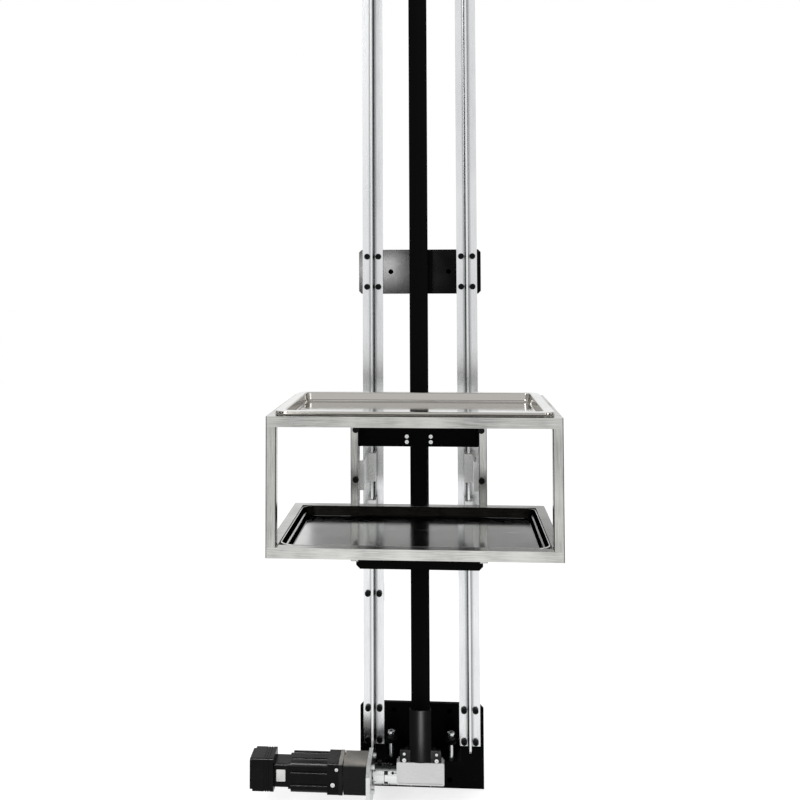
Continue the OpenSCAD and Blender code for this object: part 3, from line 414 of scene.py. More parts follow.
@dataclass(frozen=True)
class Rubber(Moulded):
    """Moulded rubber: a fine cloth-like skin, a dry surface and a bloom drawn out downwards."""

    shade: str = "#141415"
    texture_mm: float = 0.9
    texture_detail: float = 2.0
    relief_mm: float = 0.05
    cloud_mm: float = 30.0
    cloud_grain: Grain = Grain.ALONG_Z
    cloud_detail: float = 4.0


class Finishes(Enum):
    """Every finish on the lift; one that is named as a material slot is that slot's own.

    A real brush or drawing grain is too fine to show in the render. It is drawn 0.5 to 1 mm wide
    here, as coarse as it needs to show.
    """

    # Cold-drawn steel, machined: fine upright lines, a broad pale sheen and painted shade on the flanks
    POLISHED_RAIL = BareMetal(
        "cold_drawn_steel_polished", "#dfe0e1", 0.25, shade="#b4b7b9", grain=Grain.ALONG_Z, grain_mm=1.0,
        cloud_mm=160.0, sides="#7a7d7f",
    )
    # Stainless sheet from the press: nearly a mirror, faintly wavy, with painted shade on its upright walls
    PRESSED_SHEET = BareMetal(
        "stainless_sheet_pressed", "#dcdcda", 0.1, shade="#b6b6b6", grain=Grain.ALONG_X, relief_mm=0.0008,
        uneven=0.03, wave_mm=0.12, drawn="#b3b0ab",
    )
    # The same sheet after use: more scratches, so a softer mirror
    WORN_SHEET = BareMetal(
        "stainless_sheet_pressed_worn", "#d2d3d1", 0.13, shade="#a9aaa9", grain=Grain.ALONG_X,
        relief_mm=0.0012, uneven=0.04, scratches=0.2, wave_mm=0.16,
    )
    # Its drawn walls: nearly black, a painted dark reflection of the shade under the upper tray
    DRAWN_WALL = BareMetal(
        "stainless_sheet_wall_painted_reflection", "#161514", 0.3, shade="#2b2927", grain=Grain.ALONG_X, cloud_mm=30.0,
        grazing="#0c0b0b",
    )
    # Brushed stainless tube: long grey streaks, and painted shade on its round edges
    STAINLESS_TUBE = BareMetal(
        "stainless_tube_brushed", "#c6c6c3", 0.18, shade="#7a7a78", shade_most=0.75, edges="#5d5c5a",
        grain=Grain.ALONG_X, grain_mm=0.7, cloud_mm=90.0, wave_mm=0.06,
    )
    # The same on upright pieces, with upright streaks
    STAINLESS_BAR = BareMetal(
        "stainless_bar_brushed", "#bcbcb9", 0.18, shade="#747472", shade_most=0.75, edges="#5d5c5a",
        grain=Grain.ALONG_Z, grain_mm=0.7, cloud_mm=90.0, wave_mm=0.06,
    )
    # Bent stainless sheet: an even, soft light grey
    STAINLESS = BareMetal(
        "stainless_cover_bent", "#c2c2c2", 0.3, shade="#adadac", grain=Grain.ALONG_X, grain_mm=0.6,
        cloud_mm=60.0,
    )
    # Bright zinc on plate: pale, with small cloudy spangles
    PLAIN_PLATE = BareMetal(
        "steel_plate_bright_zinc", "#d6d7d6", 0.32, shade="#a9abab", grain_mm=3.0, cloud_mm=40.0, uneven=0.06
    )
    # Bright zinc on screws: small sharp glints
    ZINC = BareMetal("steel_fastener_zinc", "#d2d4d5", 0.24, shade="#a3a6a8", grain_mm=2.0, cloud_mm=15.0)
    # Ground bearing steel: rings from the wheel and a hard shine
    BEARING_STEEL = BareMetal(
        "bearing_steel_ground", "#d4d6d8", 0.14, shade="#b6b8ba", grain=Grain.ROUND_X, grain_mm=0.5,
        relief_mm=0.001,
    )
    # Turned aluminium: fine rings, and a painted dark reflection of the black plates on its top and bottom
    ALUMINIUM = BareMetal(
        "aluminium_turned", "#dcdddd", 0.25, shade="#b9bcbe", grain=Grain.ROUND_X, grain_mm=0.5,
        cloud_mm=30.0, above="#2e2f30",
    )
    # Weld bead: rippled, tinted brown by heat
    WELD = BareMetal(
        "weld_bead_tinted", "#b9b6ae", 0.3, shade="#77706a", grain_mm=1.2, cloud_mm=9.0, uneven=0.1
    )
    # Powder coat: deep matt black with hardly a sheen
    BLACK_PAINT = PaintedMetal("steel_powder_coated", "#020202", 0.46, 0.03, dust="#0d0d0d")
    # Smoother powder coat: black that shows a soft light patch
    SATIN_BLACK = PaintedMetal(
        "steel_powder_coated_satin", "#020202", 0.13, 0.03, relief_mm=0.002, dust="#0d0d0d", uneven=0.02
    )
    # Powder coat on the round guard: a wide upright sheen
    GUARD_BLACK = PaintedMetal(
        "steel_powder_coated_guard", "#020202", 0.3, 0.05, relief_mm=0.003, dust="#0d0d0d", uneven=0.04
    )
    # Stove enamel: glossy black with a slight orange peel
    GLOSS_BLACK = PaintedMetal(
        "steel_stove_enamelled", "#020202", 0.2, 0.07, peel_mm=2.5, relief_mm=0.008, dust="#101010",
        uneven=0.04,
    )
    # Enamelled casting: grained black with greyish dust on top
    MOTOR_BLACK = PaintedMetal(
        "aluminium_casting_black", "#020202", 0.26, 0.08, peel_mm=0.9, relief_mm=0.03, dust="#2e2e2f",
        dust_most=0.06, dust_on_top=0.4,
    )
    # Raw dark casting: coarse grain, charcoal in front, and grey-brown on top: dust and painted top light
    GEARBOX_GREY = PaintedMetal(
        "aluminium_casting_charcoal", "#0b0c0c", 0.5, 0.1, peel_mm=1.6, relief_mm=0.25, dust="#7d7a75",
        dust_on_top=0.85, dust_most=0.02,
    )
    # Blackened and oiled steel: dark with small dull glints
    BLACK_OXIDE = PaintedMetal(
        "steel_blackened", "#030303", 0.35, 0.12, peel_mm=0.7, relief_mm=0.01, dust="#1f1f20"
    )
    # Belt rubber: dry flat black
    BELT_RUBBER = Rubber("belt_rubber_moulded", "#020202", 0.7, 0.03, shade="#0a0a0a")
    # Harder rubber: dark with a faint shine
    SPIDER_RUBBER = Rubber("spider_rubber_moulded", "#0c0c0c", 0.55, 0.3, texture_mm=0.6, relief_mm=0.02)
    SEAL_RUBBER = Rubber("seal_rubber_moulded", "#101010", 0.5, 0.3, texture_mm=0.4, relief_mm=0.01)
    # Machined nylon: warm white, waxy
    LINER_NYLON = Moulded("nylon_machined", "#e2dfd6", 0.45)
    # Printed foil left blank: even white
    LABEL_FOIL = Moulded("label_foil_blank", "#e6e6e4", 0.35, shade="#d2d2ce", relief_mm=0.004)
    # Moulded insert: dull dark grey
    SOCKET_INSERT = Moulded("socket_insert_moulded", "#1c1c1d", 0.45, shade="#262627")


class Paintshop:
    """Makes each finish once and puts it on nodes and new pieces."""

    def __init__(self, frame: dict[str, Any]) -> None:
        """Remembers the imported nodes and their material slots.
        """
        self.nodes = frame["nodes"]
        self.slots = {s["node"]: s["material_slot"] for s in frame["record"]["subparts"]}
        self.made: dict[Finishes, Material] = {}

    def material(self, finish: Finishes) -> Material:
        """Finds a finish's material, and makes it on its first use.

        Args:
            finish: the finish.

        Returns:
            Its material.
        """
        if finish not in self.made:
            self.made[finish] = finish.value.material()
        return self.made[finish]

    def coat(self, piece: Object, finish: Finishes) -> None:
        """Puts one finish all over a piece."""
        piece.data.materials.clear()
        piece.data.materials.append(self.material(finish))

    def dress(
        self, node: str, finish: Finishes | None = None, edge_mm: float = 0.0, steps: int = 2
    ) -> None:
        """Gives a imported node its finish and, where asked, broken edges.

        Args:
            node: the node's name.
            finish: its finish; None takes the one of the record's slot.
            edge_mm: width of the broken edges; 0 leaves them as they are.
            steps: how many faces each broken edge has.
        """
        piece = self.nodes[node]
        self.coat(piece, finish or Finishes[self.slots[node].upper()])
        if edge_mm:
            bevel = piece.modifiers.new("broken_edges", "BEVEL")
            bevel.width = edge_mm * MM
            bevel.segments = steps
            bevel.limit_method = "ANGLE"
            bevel.angle_limit = math.radians(BREAK_EDGES_FROM_DEG)
            bevel.harden_normals = True
        LOG.info("dressed %s", node)

    def solids(self, node: str) -> list[tuple[Vector, Vector]]:
        """Finds the separate solids of a node.

        Args:
            node: the node's name.

        Returns:
            The lowest and highest corner of each, in metres, from the lowest up.
        """
        mesh = bmesh.new()
        mesh.from_mesh(self.nodes[node].data)
        bmesh.ops.remove_doubles(mesh, verts=mesh.verts, dist=SAME_POINT_M)
        waiting = set(mesh.verts)
        boxes = []
        while waiting:
            front = [waiting.pop()]
            found = []
            while front:
                vertex = front.pop()
                found.append(vertex.co.copy())
                for edge in vertex.link_edges:
                    other = edge.other_vert(vertex)
                    if other in waiting:
                        waiting.remove(other)
                        front.append(other)
            boxes.append(tuple(Vector(pick(p[i] for p in found) for i in range(3)) for pick in (min, max)))
        mesh.free()
        return sorted(boxes, key=lambda box: (round(box[0].z, 4), round(box[0].x, 4)))


@dataclass
class Skin:
    """A new piece under construction, made of rings of points that are joined by faces."""

    name: str
    points: list[Vector] = field(default_factory=list)
    faces: list[tuple[int, ...]] = field(default_factory=list)

    def rings(self, rings: Sequence[Sequence[Vector]], closed: bool = False, caps: bool = True) -> None:
        """Joins rings of equally many points.

        Args:
            rings: the rings in order.
            closed: whether the last ring joins the first, as in a hoop.
            caps: whether the first and the last ring are filled.
        """
        count = len(rings[0])
        first = len(self.points)
        for ring in rings:
            self.points.extend(ring)
        steps = len(rings) if closed else len(rings) - 1
        for step in range(steps):
            low = first + step * count
            high = first + (step + 1) % len(rings) * count
            for i in range(count):
                j = (i + 1) % count
                self.faces.append((low + i, low + j, high + j, high + i))
        if caps and not closed:
            self.faces.append(tuple(range(first, first + count)))
            self.faces.append(tuple(range(first + (len(rings) - 1) * count, first + len(rings) * count)))

    def hoop(self, middle: Vector, ahead: Vector, radius_mm: float, along_mm: float, sides: int) -> list[Vector]:
        """Draws one round ring.

        Args:
            middle: the point that the ring's distance is counted from.
            ahead: the direction that it looks along.
            radius_mm: its radius.
            along_mm: its distance from the point, along that direction.
            sides: how many points it has.

        Returns:
            Its points, in metres.
        """
        turn = ahead.to_track_quat("Z", "Y")
        angles = [math.tau * i / sides for i in range(sides)]
        spots = [Vector((radius_mm * math.cos(a), radius_mm * math.sin(a), along_mm)) for a in angles]
        return [middle + turn @ (spot * MM) for spot in spots]

    def turned(
        self, profile_mm: Sequence[tuple[float, float]], place: Vector, axis: Vector, sides: int = 32,
        closed: bool = True,
    ) -> None:
        """Turns a profile round an axis.

        Args:
            profile_mm: points as (radius, distance along the axis).
            place: the axis's starting point, in metres.
            axis: its direction.
            sides: how many faces the round has.
            closed: whether the profile's last point joins its first, as in a ring.
        """
        self.rings([self.hoop(place, axis, radius, along, sides) for radius, along in profile_mm], closed)

    def tube(self, path: Sequence[Vector], radius_mm: Callable[[int], float], sides: int = 8) -> None:
        """Runs a round rod along a path.

        Args:
            path: its points, in metres.
            radius_mm: the rod's radius at each point's number.
            sides: how many faces the round has.
        """
        rings = []
        for i, point in enumerate(path):
            ahead = path[min(i + 1, len(path) - 1)] - path[max(i - 1, 0)]
            rings.append(self.hoop(point, ahead, radius_mm(i), 0.0, sides))
        self.rings(rings)

    def finish(self, shop: Paintshop, finish: Finishes, slot: str, body: str) -> Object:
        """Makes the object, paints it and lets it ride on its body.

        Args:
            shop: where the finish comes from.
            finish: the finish.
            slot: the record's material slot that it belongs to; not used.
            body: the body that it moves with.

        Returns:
            The new object.
        """
        mesh = bpy.data.meshes.new(self.name)
        mesh.from_pydata(self.points, [], self.faces)
        shape = bmesh.new()
        shape.from_mesh(mesh)
        bmesh.ops.recalc_face_normals(shape, faces=shape.faces)
        shape.to_mesh(mesh)
        shape.free()
        mesh.shade_smooth()
        mesh.set_sharp_from_angle(angle=math.radians(SHARP_EDGES_FROM_DEG))
        piece = bpy.data.objects.new(self.name, mesh)
        bpy.context.scene.collection.objects.link(piece)
        shop.coat(piece, finish)
        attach(piece, body)
        LOG.info("made %s", self.name)
        return piece


@dataclass(frozen=True)
class Softbox:
    """A soft lamp: place, aim, width and height in metres.

    It lights the nodes in only_on, or everything if there are none, and a height of 0 makes it square.
    """

    name: str
    place: tuple[float, float, float]
    width: float
    watts: float
    aim: tuple[float, float, float] = (0.0, -0.2, 0.6)
    height: float = 0.0
    only_on: tuple[str, ...] = ()


@dataclass
class Studio:
    """Floor, lamps, world and the camera that stands where the photograph's did."""

    nodes: dict[str, Object]
    camera_place_mm: tuple[float, float, float] = (51.21, -2088.54, 999.07)
    pitch_deg: float = 2.4741
    yaw_deg: float = -3.7583
    roll_deg: float = -0.169
    focal_px: float = 936.12
    centre_px: tuple[float, float] = (381.17, 244.31)
    sensor_mm: float = 36.0
    reach: float = 50.0
    floor_z_mm: float = -91.0
    floor_half: float = 8.0
    floor_grey: str = "#bdbdbd"
    floor_glow: float = 0.71
    world_light: float = 0.6
    card_black: str = "#0a0a0a"
    card_grey: str = "#b8b8b8"
    side_cards_x: float = 1.7
    side_cards_z: float = 0.9
    side_cards: tuple[tuple[float, float], ...] = ((-1.95, 0.4), (-0.85, 0.25), (0.3, 0.25))
    anchor_mm: tuple[float, float] = (60.0, 73.0)
    bracket_anchor_mm: float = 64.0
    head_drop_mm: float = 90.0
    hole_radius_mm: float = 6.5
    hole_behind_mm: float = 0.6
    lamps: tuple[Softbox, ...] = (
        Softbox("key_softbox", (-1.6, -2.4, 2.4), 1.6, 55.0),
        Softbox("fill_softbox", (2.0, -1.8, 1.4), 1.4, 25.0),
        Softbox(
            "bracket_spot", (-0.235, -2.09, 1.075), 0.2, 22.0, (-0.09, 0.0, 1.04), 0.12, ("wall_bracket",)
        ),
        Softbox(
            "guard_strip", (0.016, -0.57, -0.05), 0.09, 8.0, (0.016, -0.57, 1.0), 0.36, ("belt_guard",)
        ),
        Softbox(
            "motor_strip", (-0.45, -0.7, 1.2), 0.25, 20.0, (-0.22, -0.17, 0.0),
            only_on=("gearbox", "motor_barrel", "motor_neck", "encoder_cover"),
        ),
    )

    def camera(self) -> None:
        """Makes the camera from the fitted pose, focal length and picture centre."""
        pitch, yaw, roll = (math.radians(a) for a in (self.pitch_deg, self.yaw_deg, self.roll_deg))
        ahead = Vector((math.sin(yaw) * math.cos(pitch), math.cos(yaw) * math.cos(pitch), math.sin(pitch)))
        level = Vector((math.cos(yaw), -math.sin(yaw), 0.0))
        upright = level.cross(ahead)
        right = math.cos(roll) * level + math.sin(roll) * upright
        up = -math.sin(roll) * level + math.cos(roll) * upright
        place = Vector(self.camera_place_mm) * MM
        data = bpy.data.cameras.new("photo_camera")
        data.sensor_width = self.sensor_mm
        data.lens = self.focal_px / PHOTO_SIDE_PX * self.sensor_mm
        data.shift_x = (PHOTO_SIDE_PX / 2 - self.centre_px[0]) / PHOTO_SIDE_PX
        data.shift_y = (self.centre_px[1] - PHOTO_SIDE_PX / 2) / PHOTO_SIDE_PX
        data.clip_end = self.reach
        camera = bpy.data.objects.new("photo_camera", data)
        camera.matrix_world = Matrix.Translation(place) @ Matrix((right, up, -ahead)).transposed().to_4x4()
        bpy.context.scene.collection.objects.link(camera)
        bpy.context.scene.camera = camera

    def hang(self, box: Softbox) -> None:
        """Hangs one lamp and keeps it to its nodes.

        Args:
            box: the lamp.
        """
        data = bpy.data.lights.new(box.name, "AREA")
        data.shape = "RECTANGLE"
        data.size, data.size_y = box.width, box.height or box.width
        data.energy = box.watts
        lamp = bpy.data.objects.new(box.name, data)
        lamp.location = box.place
        lamp.rotation_euler = (Vector(box.aim) - Vector(box.place)).to_track_quat("-Z", "Y").to_euler()
        lamp.visible_camera = False
        bpy.context.scene.collection.objects.link(lamp)
        if box.only_on:
            lit = bpy.data.collections.new(box.name + "_lit")
            for node in box.only_on:
                lit.objects.link(self.nodes[node])
            lamp.light_linking.receiver_collection = lit

    def where_shown(self, tree: NodeTree, light: float, shown: float) -> NodeSocket:
        """Adds a strength that depends on what looks at a thing.

        Args:
            tree: the node tree that gets the nodes.
            light: the strength with which it lights matt surfaces.
            shown: its strength where the camera, metal or glass shows it.

        Returns:
            The strength.
        """
        shader = Shader(tree)
        rays = add_node(tree, "ShaderNodeLightPath").outputs
        seen = shader.math("MAXIMUM", rays["Is Camera Ray"], rays["Is Glossy Ray"])
        seen = shader.math("MAXIMUM", seen, rays["Is Transmission Ray"])
        return shader.mask(seen, WHOLE, shown, light)

    def world(self) -> None:
        """Makes the world: white where it is seen or mirrored, and softer where it lights."""
        world = bpy.data.worlds.new("white_studio")
        tree = emptied(world)
        links = {"Strength": self.where_shown(tree, self.world_light, 1.0)}
        back = add_node(tree, "ShaderNodeBackground", values={"Color": (1.0, 1.0, 1.0, 1.0)}, links=links)
        add_node(tree, "ShaderNodeOutputWorld", links={"Surface": back.outputs["Background"]})
        bpy.context.scene.world = world

    def sheet(
        self, name: str, middle: Vector, along: Vector, up: Vector, material: Material
    ) -> Object:
        """Makes one flat four-cornered thing that isn't part of the lift.

        Args:
            name: its name.
            middle: its middle.
            along: half its width, as a vector.
            up: half its height, as a vector.
            material: its material.

        Returns:
            The new object.
        """
        corners = [middle - along - up, middle + along - up, middle + along + up, middle - along + up]
        mesh = bpy.data.meshes.new(name)
        mesh.from_pydata(corners, [], [(0, 1, 2, 3)])
        mesh.materials.append(material)
        flat = bpy.data.objects.new(name, mesh)
        bpy.context.scene.collection.objects.link(flat)
        return flat

    def paper(self, name: str, colour: str, glow: float = 0.0) -> Material:
        """Makes matt paper that also glows where it is seen or mirrored.

        Args:
            name: the material's name.
            colour: the paper's colour.
            glow: how strongly it glows.

        Returns:
            The new material.
        """
        material = bpy.data.materials.new(name)
        tree = emptied(material)
        matt = add_node(tree, "ShaderNodeBsdfDiffuse", values={"Color": linear(colour)})
        light = add_node(tree, "ShaderNodeEmission", links={"Strength": self.where_shown(tree, 0.0, glow)})
        links = {0: matt.outputs["BSDF"], 1: light.outputs["Emission"]}
        both = add_node(tree, "ShaderNodeAddShader", links=links)
        add_node(tree, "ShaderNodeOutputMaterial", links={"Surface": both.outputs["Shader"]})
        return material

    def floor(self) -> None:
        """Lays a pale floor just under the base plate."""
        middle = Vector((0.0, 0.0, self.floor_z_mm * MM))
        material = self.paper("floor_paper_white", self.floor_grey, self.floor_glow)
        self.sheet("pale_floor", middle, X_AXIS * self.floor_half, Y_AXIS * self.floor_half, material)

    def flag(self, name: str, middle: Vector, along: Vector, up: Vector, grey: str) -> None:
        """Hangs a dark card that only reflections show, as a photographer does for metal.

        Args:
            name: the card's name.
            middle: its middle.
            along: half its width, as a vector.
            up: half its height, as a vector.
            grey: its colour.
        """
        card = self.sheet(name, middle, along, up, self.paper(name + "_felt", grey))
        card.visible_camera = False
        card.visible_diffuse = False
        card.visible_shadow = False
        card.visible_transmission = False

    def cards(self) -> None:
        """Hangs upright dark cards on both sides, one overhead and a grey one far behind."""
        for side, word in ((-1, "left"), (1, "right")):
            for number, (y, half) in enumerate(self.side_cards):
                middle = Vector((side * self.side_cards_x, y, self.side_cards_z))
                self.flag(f"flag_{word}_{number}", middle, Y_AXIS * half, Z_AXIS * 1.5, self.card_black)
        self.flag("flag_overhead", Vector((0.0, -1.6, 3.0)), X_AXIS * 2.0, Y_AXIS * 0.5, self.card_black)
        self.flag("card_far_behind", Vector((0.0, 6.0, 2.6)), X_AXIS * 1.1, Z_AXIS * 0.6, self.card_grey)

    def wall_holes(self) -> None:
        """Puts small dark sheets behind the plates' anchor holes: painted shade for the drilled holes in the
        wall.
        """
        low, high = (Vector(c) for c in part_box("base_plate"))
        centre_x = (low.x + high.x) / 2
        # Painted shade: near-black sheets where the holes show the wall behind
        dark = self.paper("drilled_wall_hole_dark", "#020202")
        x, z = (a * MM for a in self.anchor_mm)
        base = [(sx * x, sz * z) for sx in (-1, 1) for sz in (-1, 1)]
        head = Vector(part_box("head_plate")[1]).z - self.head_drop_mm * MM
        bracket = sum(Vector(c).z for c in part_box("wall_bracket")) / 2
        places = base + [(x, head + z) for x, z in base]
        places += [(sx * self.bracket_anchor_mm * MM, bracket) for sx in (-1, 1)]
        half = self.hole_radius_mm * MM
        for number, (x, z) in enumerate(places):
            at = Vector((x + centre_x, self.hole_behind_mm * MM, z))
            self.sheet(f"drilled_wall_hole_{number}", at, X_AXIS * half, Z_AXIS * half, dark)

    def build(self) -> None:
        """Sets up everything around the object."""
        self.camera()
        self.world()
        self.floor()
        self.wall_holes()
        self.cards()
        for box in self.lamps:
            self.hang(box)
        bpy.context.scene.view_settings.view_transform = "Standard"
        LOG.info("studio ready")


def bearing_seals(shop: Paintshop, node: str, body: str) -> None:
    """Fills the recesses of ball bearings with their rubber seals.

    Args:
        shop: where nodes and finishes come from.
        node: the bearings' node.
        body: the body that they belong to.
    """
    skin = Skin(node + "_seals")
    profile = [(9.2, 0.0), (10.3, 0.0), (10.3, 0.25), (9.75, 0.35), (9.2, 0.25)]
    recess = 0.5 * MM
    for low, high in shop.solids(node):
        middle = (low + high) / 2
        skin.turned(profile, Vector((low.x + recess, middle.y, middle.z)), -X_AXIS)
        skin.turned(profile, Vector((high.x - recess, middle.y, middle.z)), X_AXIS)
    skin.finish(shop, Finishes.SEAL_RUBBER, "spider_rubber", body)


@dataclass
class Mast:
    """Wall plates, rails, belt and idler: what stays on the wall."""

    shop: Paintshop
    plates: tuple[str, ...] = ("base_plate", "head_plate", "rail_pad", "drive_bracket", "idler_bracket")
    rails: tuple[str, ...] = ("rail_left", "rail_right")
    fixed: tuple[str, ...] = ("rail_bolts", "belt", "idler_axle", "idler_pulley", "idler_bearings")
    plate_edge_mm: float = 0.5
    bracket_edge_mm: float = 0.6
    rail_edge_mm: float = 0.4
    # Painted shade round the rails' blade root
    film: str = "#6a6c6d"
    film_from_blade_mm: tuple[float, float] = (3.0, 10.0)
    film_depth_mm: tuple[float, float] = (2.0, 10.0)

    def build(self) -> None:
        """Dresses the mast's nodes and adds its seals."""
        for node in self.plates:
            self.shop.dress(node, edge_mm=self.plate_edge_mm)
        self.shop.dress("wall_bracket", Finishes.SATIN_BLACK, self.bracket_edge_mm)
        for node in self.rails:
            self.shop.dress(node, edge_mm=self.rail_edge_mm)
        for node in self.fixed:
            self.shop.dress(node)
        self.oil_film()
        bearing_seals(self.shop, "idler_bearings", "idler")

    def oil_film(self) -> None:
        """Paints shade on the rails round the blade's root, where the flange meets the blade."""
        tree = self.shop.material(Finishes.POLISHED_RAIL).node_tree
        steel = Shader(tree, next(node for node in tree.nodes if node.type == "BSDF_PRINCIPLED"))
        low, high = (Vector(c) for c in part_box("rail_right"))
        links = {"Vector": add_node(tree, "ShaderNodeTexCoord").outputs["Object"]}
        place = add_node(tree, "ShaderNodeSeparateXYZ", links=links).outputs
        aside = steel.math("SUBTRACT", steel.math("ABSOLUTE", place["X"]), (low.x + high.x) / 2)
        beside = tuple(a * MM for a in self.film_from_blade_mm)
        depth = tuple(low.y + a * MM for a in self.film_depth_mm)
        near = steel.mask(steel.math("ABSOLUTE", aside), beside, 0.0, 1.0)
        steel.tint(steel.math("MULTIPLY", near, steel.mask(place["Y"], depth)), self.film)


@dataclass
class DriveUnit:
    """Motor, coupling, drive pulley, their plate, cover, guard and tension screws."""

    shop: Paintshop
    motor: tuple[str, ...] = ("motor_barrel", "motor_neck", "encoder_cover")
    small: tuple[str, ...] = (
        "tension_screws", "tension_nuts", "cover_screws", "bearings", "motor_connector", "motor_screws",
        "output_shaft", "drive_shaft", "drive_pulley", "coupling_hub_motor", "coupling_hub_shaft",
        "coupling_spider", "coupling_screws",
    )
    gearbox_edge_mm: float = 1.2
    motor_edge_mm: float = 0.9
    plate_edge_mm: float = 0.5
    cover_edge_mm: float = 0.4
    guard_edge_mm: float = 0.3
    thread_pitch_mm: float = 1.25
    thread_radius_mm: float = 3.95
    thread_ridge_mm: float = 0.34
    thread_steps: int = 16
    screw_head_mm: float = 12.0
    label_mm: tuple[float, float, float] = (19.0, 24.0, 0.35)
    label_corner_mm: float = 1.5
    label_bevel_mm: float = 0.2
    label_place_mm: tuple[float, float, float] = (14.5, 3.0, 1.5)
    socket_depth_mm: float = 10.0
    insert_mm: tuple[tuple[float, float], ...] = ((0.5, 0.0), (6.4, 0.0), (6.4, 3.4), (5.9, 4.0), (0.5, 4.0))
    pin_mm: tuple[tuple[float, float], ...] = ((0.55, 2.0), (0.55, 7.2), (0.35, 7.8), (0.05, 8.0))
    pins: int = 6
    pin_circle_mm: float = 3.6
    end_screw_mm: tuple[tuple[float, float], ...] = (
        (2.6, -1.0), (2.6, 0.6), (2.0, 1.4), (1.0, 1.6), (0.9, 0.6), (0.05, 0.6),
    )
    end_screw_inset_mm: float = 10.0
    end_screw_sunk_mm: float = 1.6

    def build(self) -> None:
        """Dresses the drive unit's nodes and adds its small pieces."""
        self.shop.dress("gearbox", Finishes.GEARBOX_GREY, self.gearbox_edge_mm, steps=3)
        for node in self.motor:
            self.shop.dress(node, edge_mm=self.motor_edge_mm, steps=3)
        self.shop.dress("motor_plate", edge_mm=self.plate_edge_mm)
        self.shop.dress("pulley_cover", edge_mm=self.cover_edge_mm)
        self.shop.dress("belt_guard", Finishes.GUARD_BLACK, self.guard_edge_mm)
        for node in self.small:
            self.shop.dress(node)
        bearing_seals(self.shop, "bearings", "mast")
        self.screw_threads()
        self.blank_label()
        self.socket_insert()
        self.end_screws()

    def screw_threads(self) -> None:
        """Winds a ridge round the two tension screws as their thread."""
        skin = Skin("tension_screw_threads")
        for low, high in self.shop.solids("tension_screws"):
            foot = Vector(((low.x + high.x) / 2, (low.y + high.y) / 2, low.z))
            length_mm = (high.z - low.z) / MM - self.screw_head_mm
            path = []
            for i in range(int(length_mm / self.thread_pitch_mm * self.thread_steps) + 1):
                angle, rise_mm = math.tau * i / self.thread_steps, i / self.thread_steps * self.thread_pitch_mm
                x, y = self.thread_radius_mm * math.cos(angle), self.thread_radius_mm * math.sin(angle)
                path.append(foot + Vector((x, y, rise_mm)) * MM)
            skin.tube(path, lambda i: self.thread_ridge_mm, sides=5)
        skin.finish(self.shop, Finishes.ZINC, "zinc", "mast")

    def blank_label(self) -> None:
        """Sticks the blank label place on the front of the motor's neck."""
        low, high = (Vector(c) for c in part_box("motor_neck"))
        skin = Skin("motor_label_blank")
        wide, tall, thick = self.label_mm
        right, deep, up = (a * MM for a in self.label_place_mm)
        middle = Vector((low.x + right, low.y + deep, (low.z + high.z) / 2 + up))
        outline = rounded_outline(wide, tall, self.label_corner_mm, 6)
        rings = []
        for inset, out in ((0.0, -0.2), (0.0, thick - 0.15), (self.label_bevel_mm, thick)):
            scale_x, scale_z = (wide - 2 * inset) / wide, (tall - 2 * inset) / tall
            rings.append([middle + Vector((x * scale_x, -out, z * scale_z)) * MM for x, z in outline])
        skin.rings(rings)
        skin.finish(self.shop, Finishes.LABEL_FOIL, "liner_nylon", "mast")

    def socket_insert(self) -> None:
        """Fills the motor's cable socket with its insert and pins."""
        low, high = (Vector(c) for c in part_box("motor_connector"))
        middle = (low + high) / 2
        floor = Vector((middle.x, high.y - self.socket_depth_mm * MM, middle.z))
        insert = Skin("socket_insert")
        insert.turned(self.insert_mm, floor, Y_AXIS, closed=False)
        insert.finish(self.shop, Finishes.SOCKET_INSERT, "spider_rubber", "mast")
        pins = Skin("socket_pins")
        for i in range(self.pins):
            angle = math.tau * i / self.pins
            at = floor + Vector((math.cos(angle), 0.0, math.sin(angle))) * self.pin_circle_mm * MM
            pins.turned(self.pin_mm, at, Y_AXIS, sides=12, closed=False)
        pins.finish(self.shop, Finishes.BEARING_STEEL, "bearing_steel", "mast")

    def end_screws(self) -> None:
        """Puts four button-head screws in the encoder cover's end."""
        low, high = (Vector(c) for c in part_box("encoder_cover"))
        middle = (low + high) / 2
        half = (high - low) / 2 - Vector((0.0, 1.0, 1.0)) * self.end_screw_inset_mm * MM
        skin = Skin("encoder_cover_screws")
        for sy in (-1, 1):
            for sz in (-1, 1):
                x = low.x + self.end_screw_sunk_mm * MM
                at = Vector((x, middle.y + sy * half.y, middle.z + sz * half.z))
                skin.turned(self.end_screw_mm, at, -X_AXIS, sides=24, closed=False)
        skin.finish(self.shop, Finishes.BLACK_OXIDE, "black_oxide", "mast")


def rounded_outline(wide: float, tall: float, corner: float, steps: int) -> list[tuple[float, float]]:
    """Draws a rectangle with round corners about its middle.

    Args:
        wide: its width.
        tall: its height.
        corner: its corner radius.
        steps: how many steps each corner has.

    Returns:
        Its points, anticlockwise from the lower right corner.
    """
    points = []
    for quarter, (sx, sy) in enumerate(((1, -1), (1, 1), (-1, 1), (-1, -1))):
        for i in range(steps + 1):
            angle = math.radians(-90 + quarter * 90 + 90 * i / steps)
            x = sx * (wide / 2 - corner) + corner * math.cos(angle)
            points.append((x, sy * (tall / 2 - corner) + corner * math.sin(angle)))
    return points


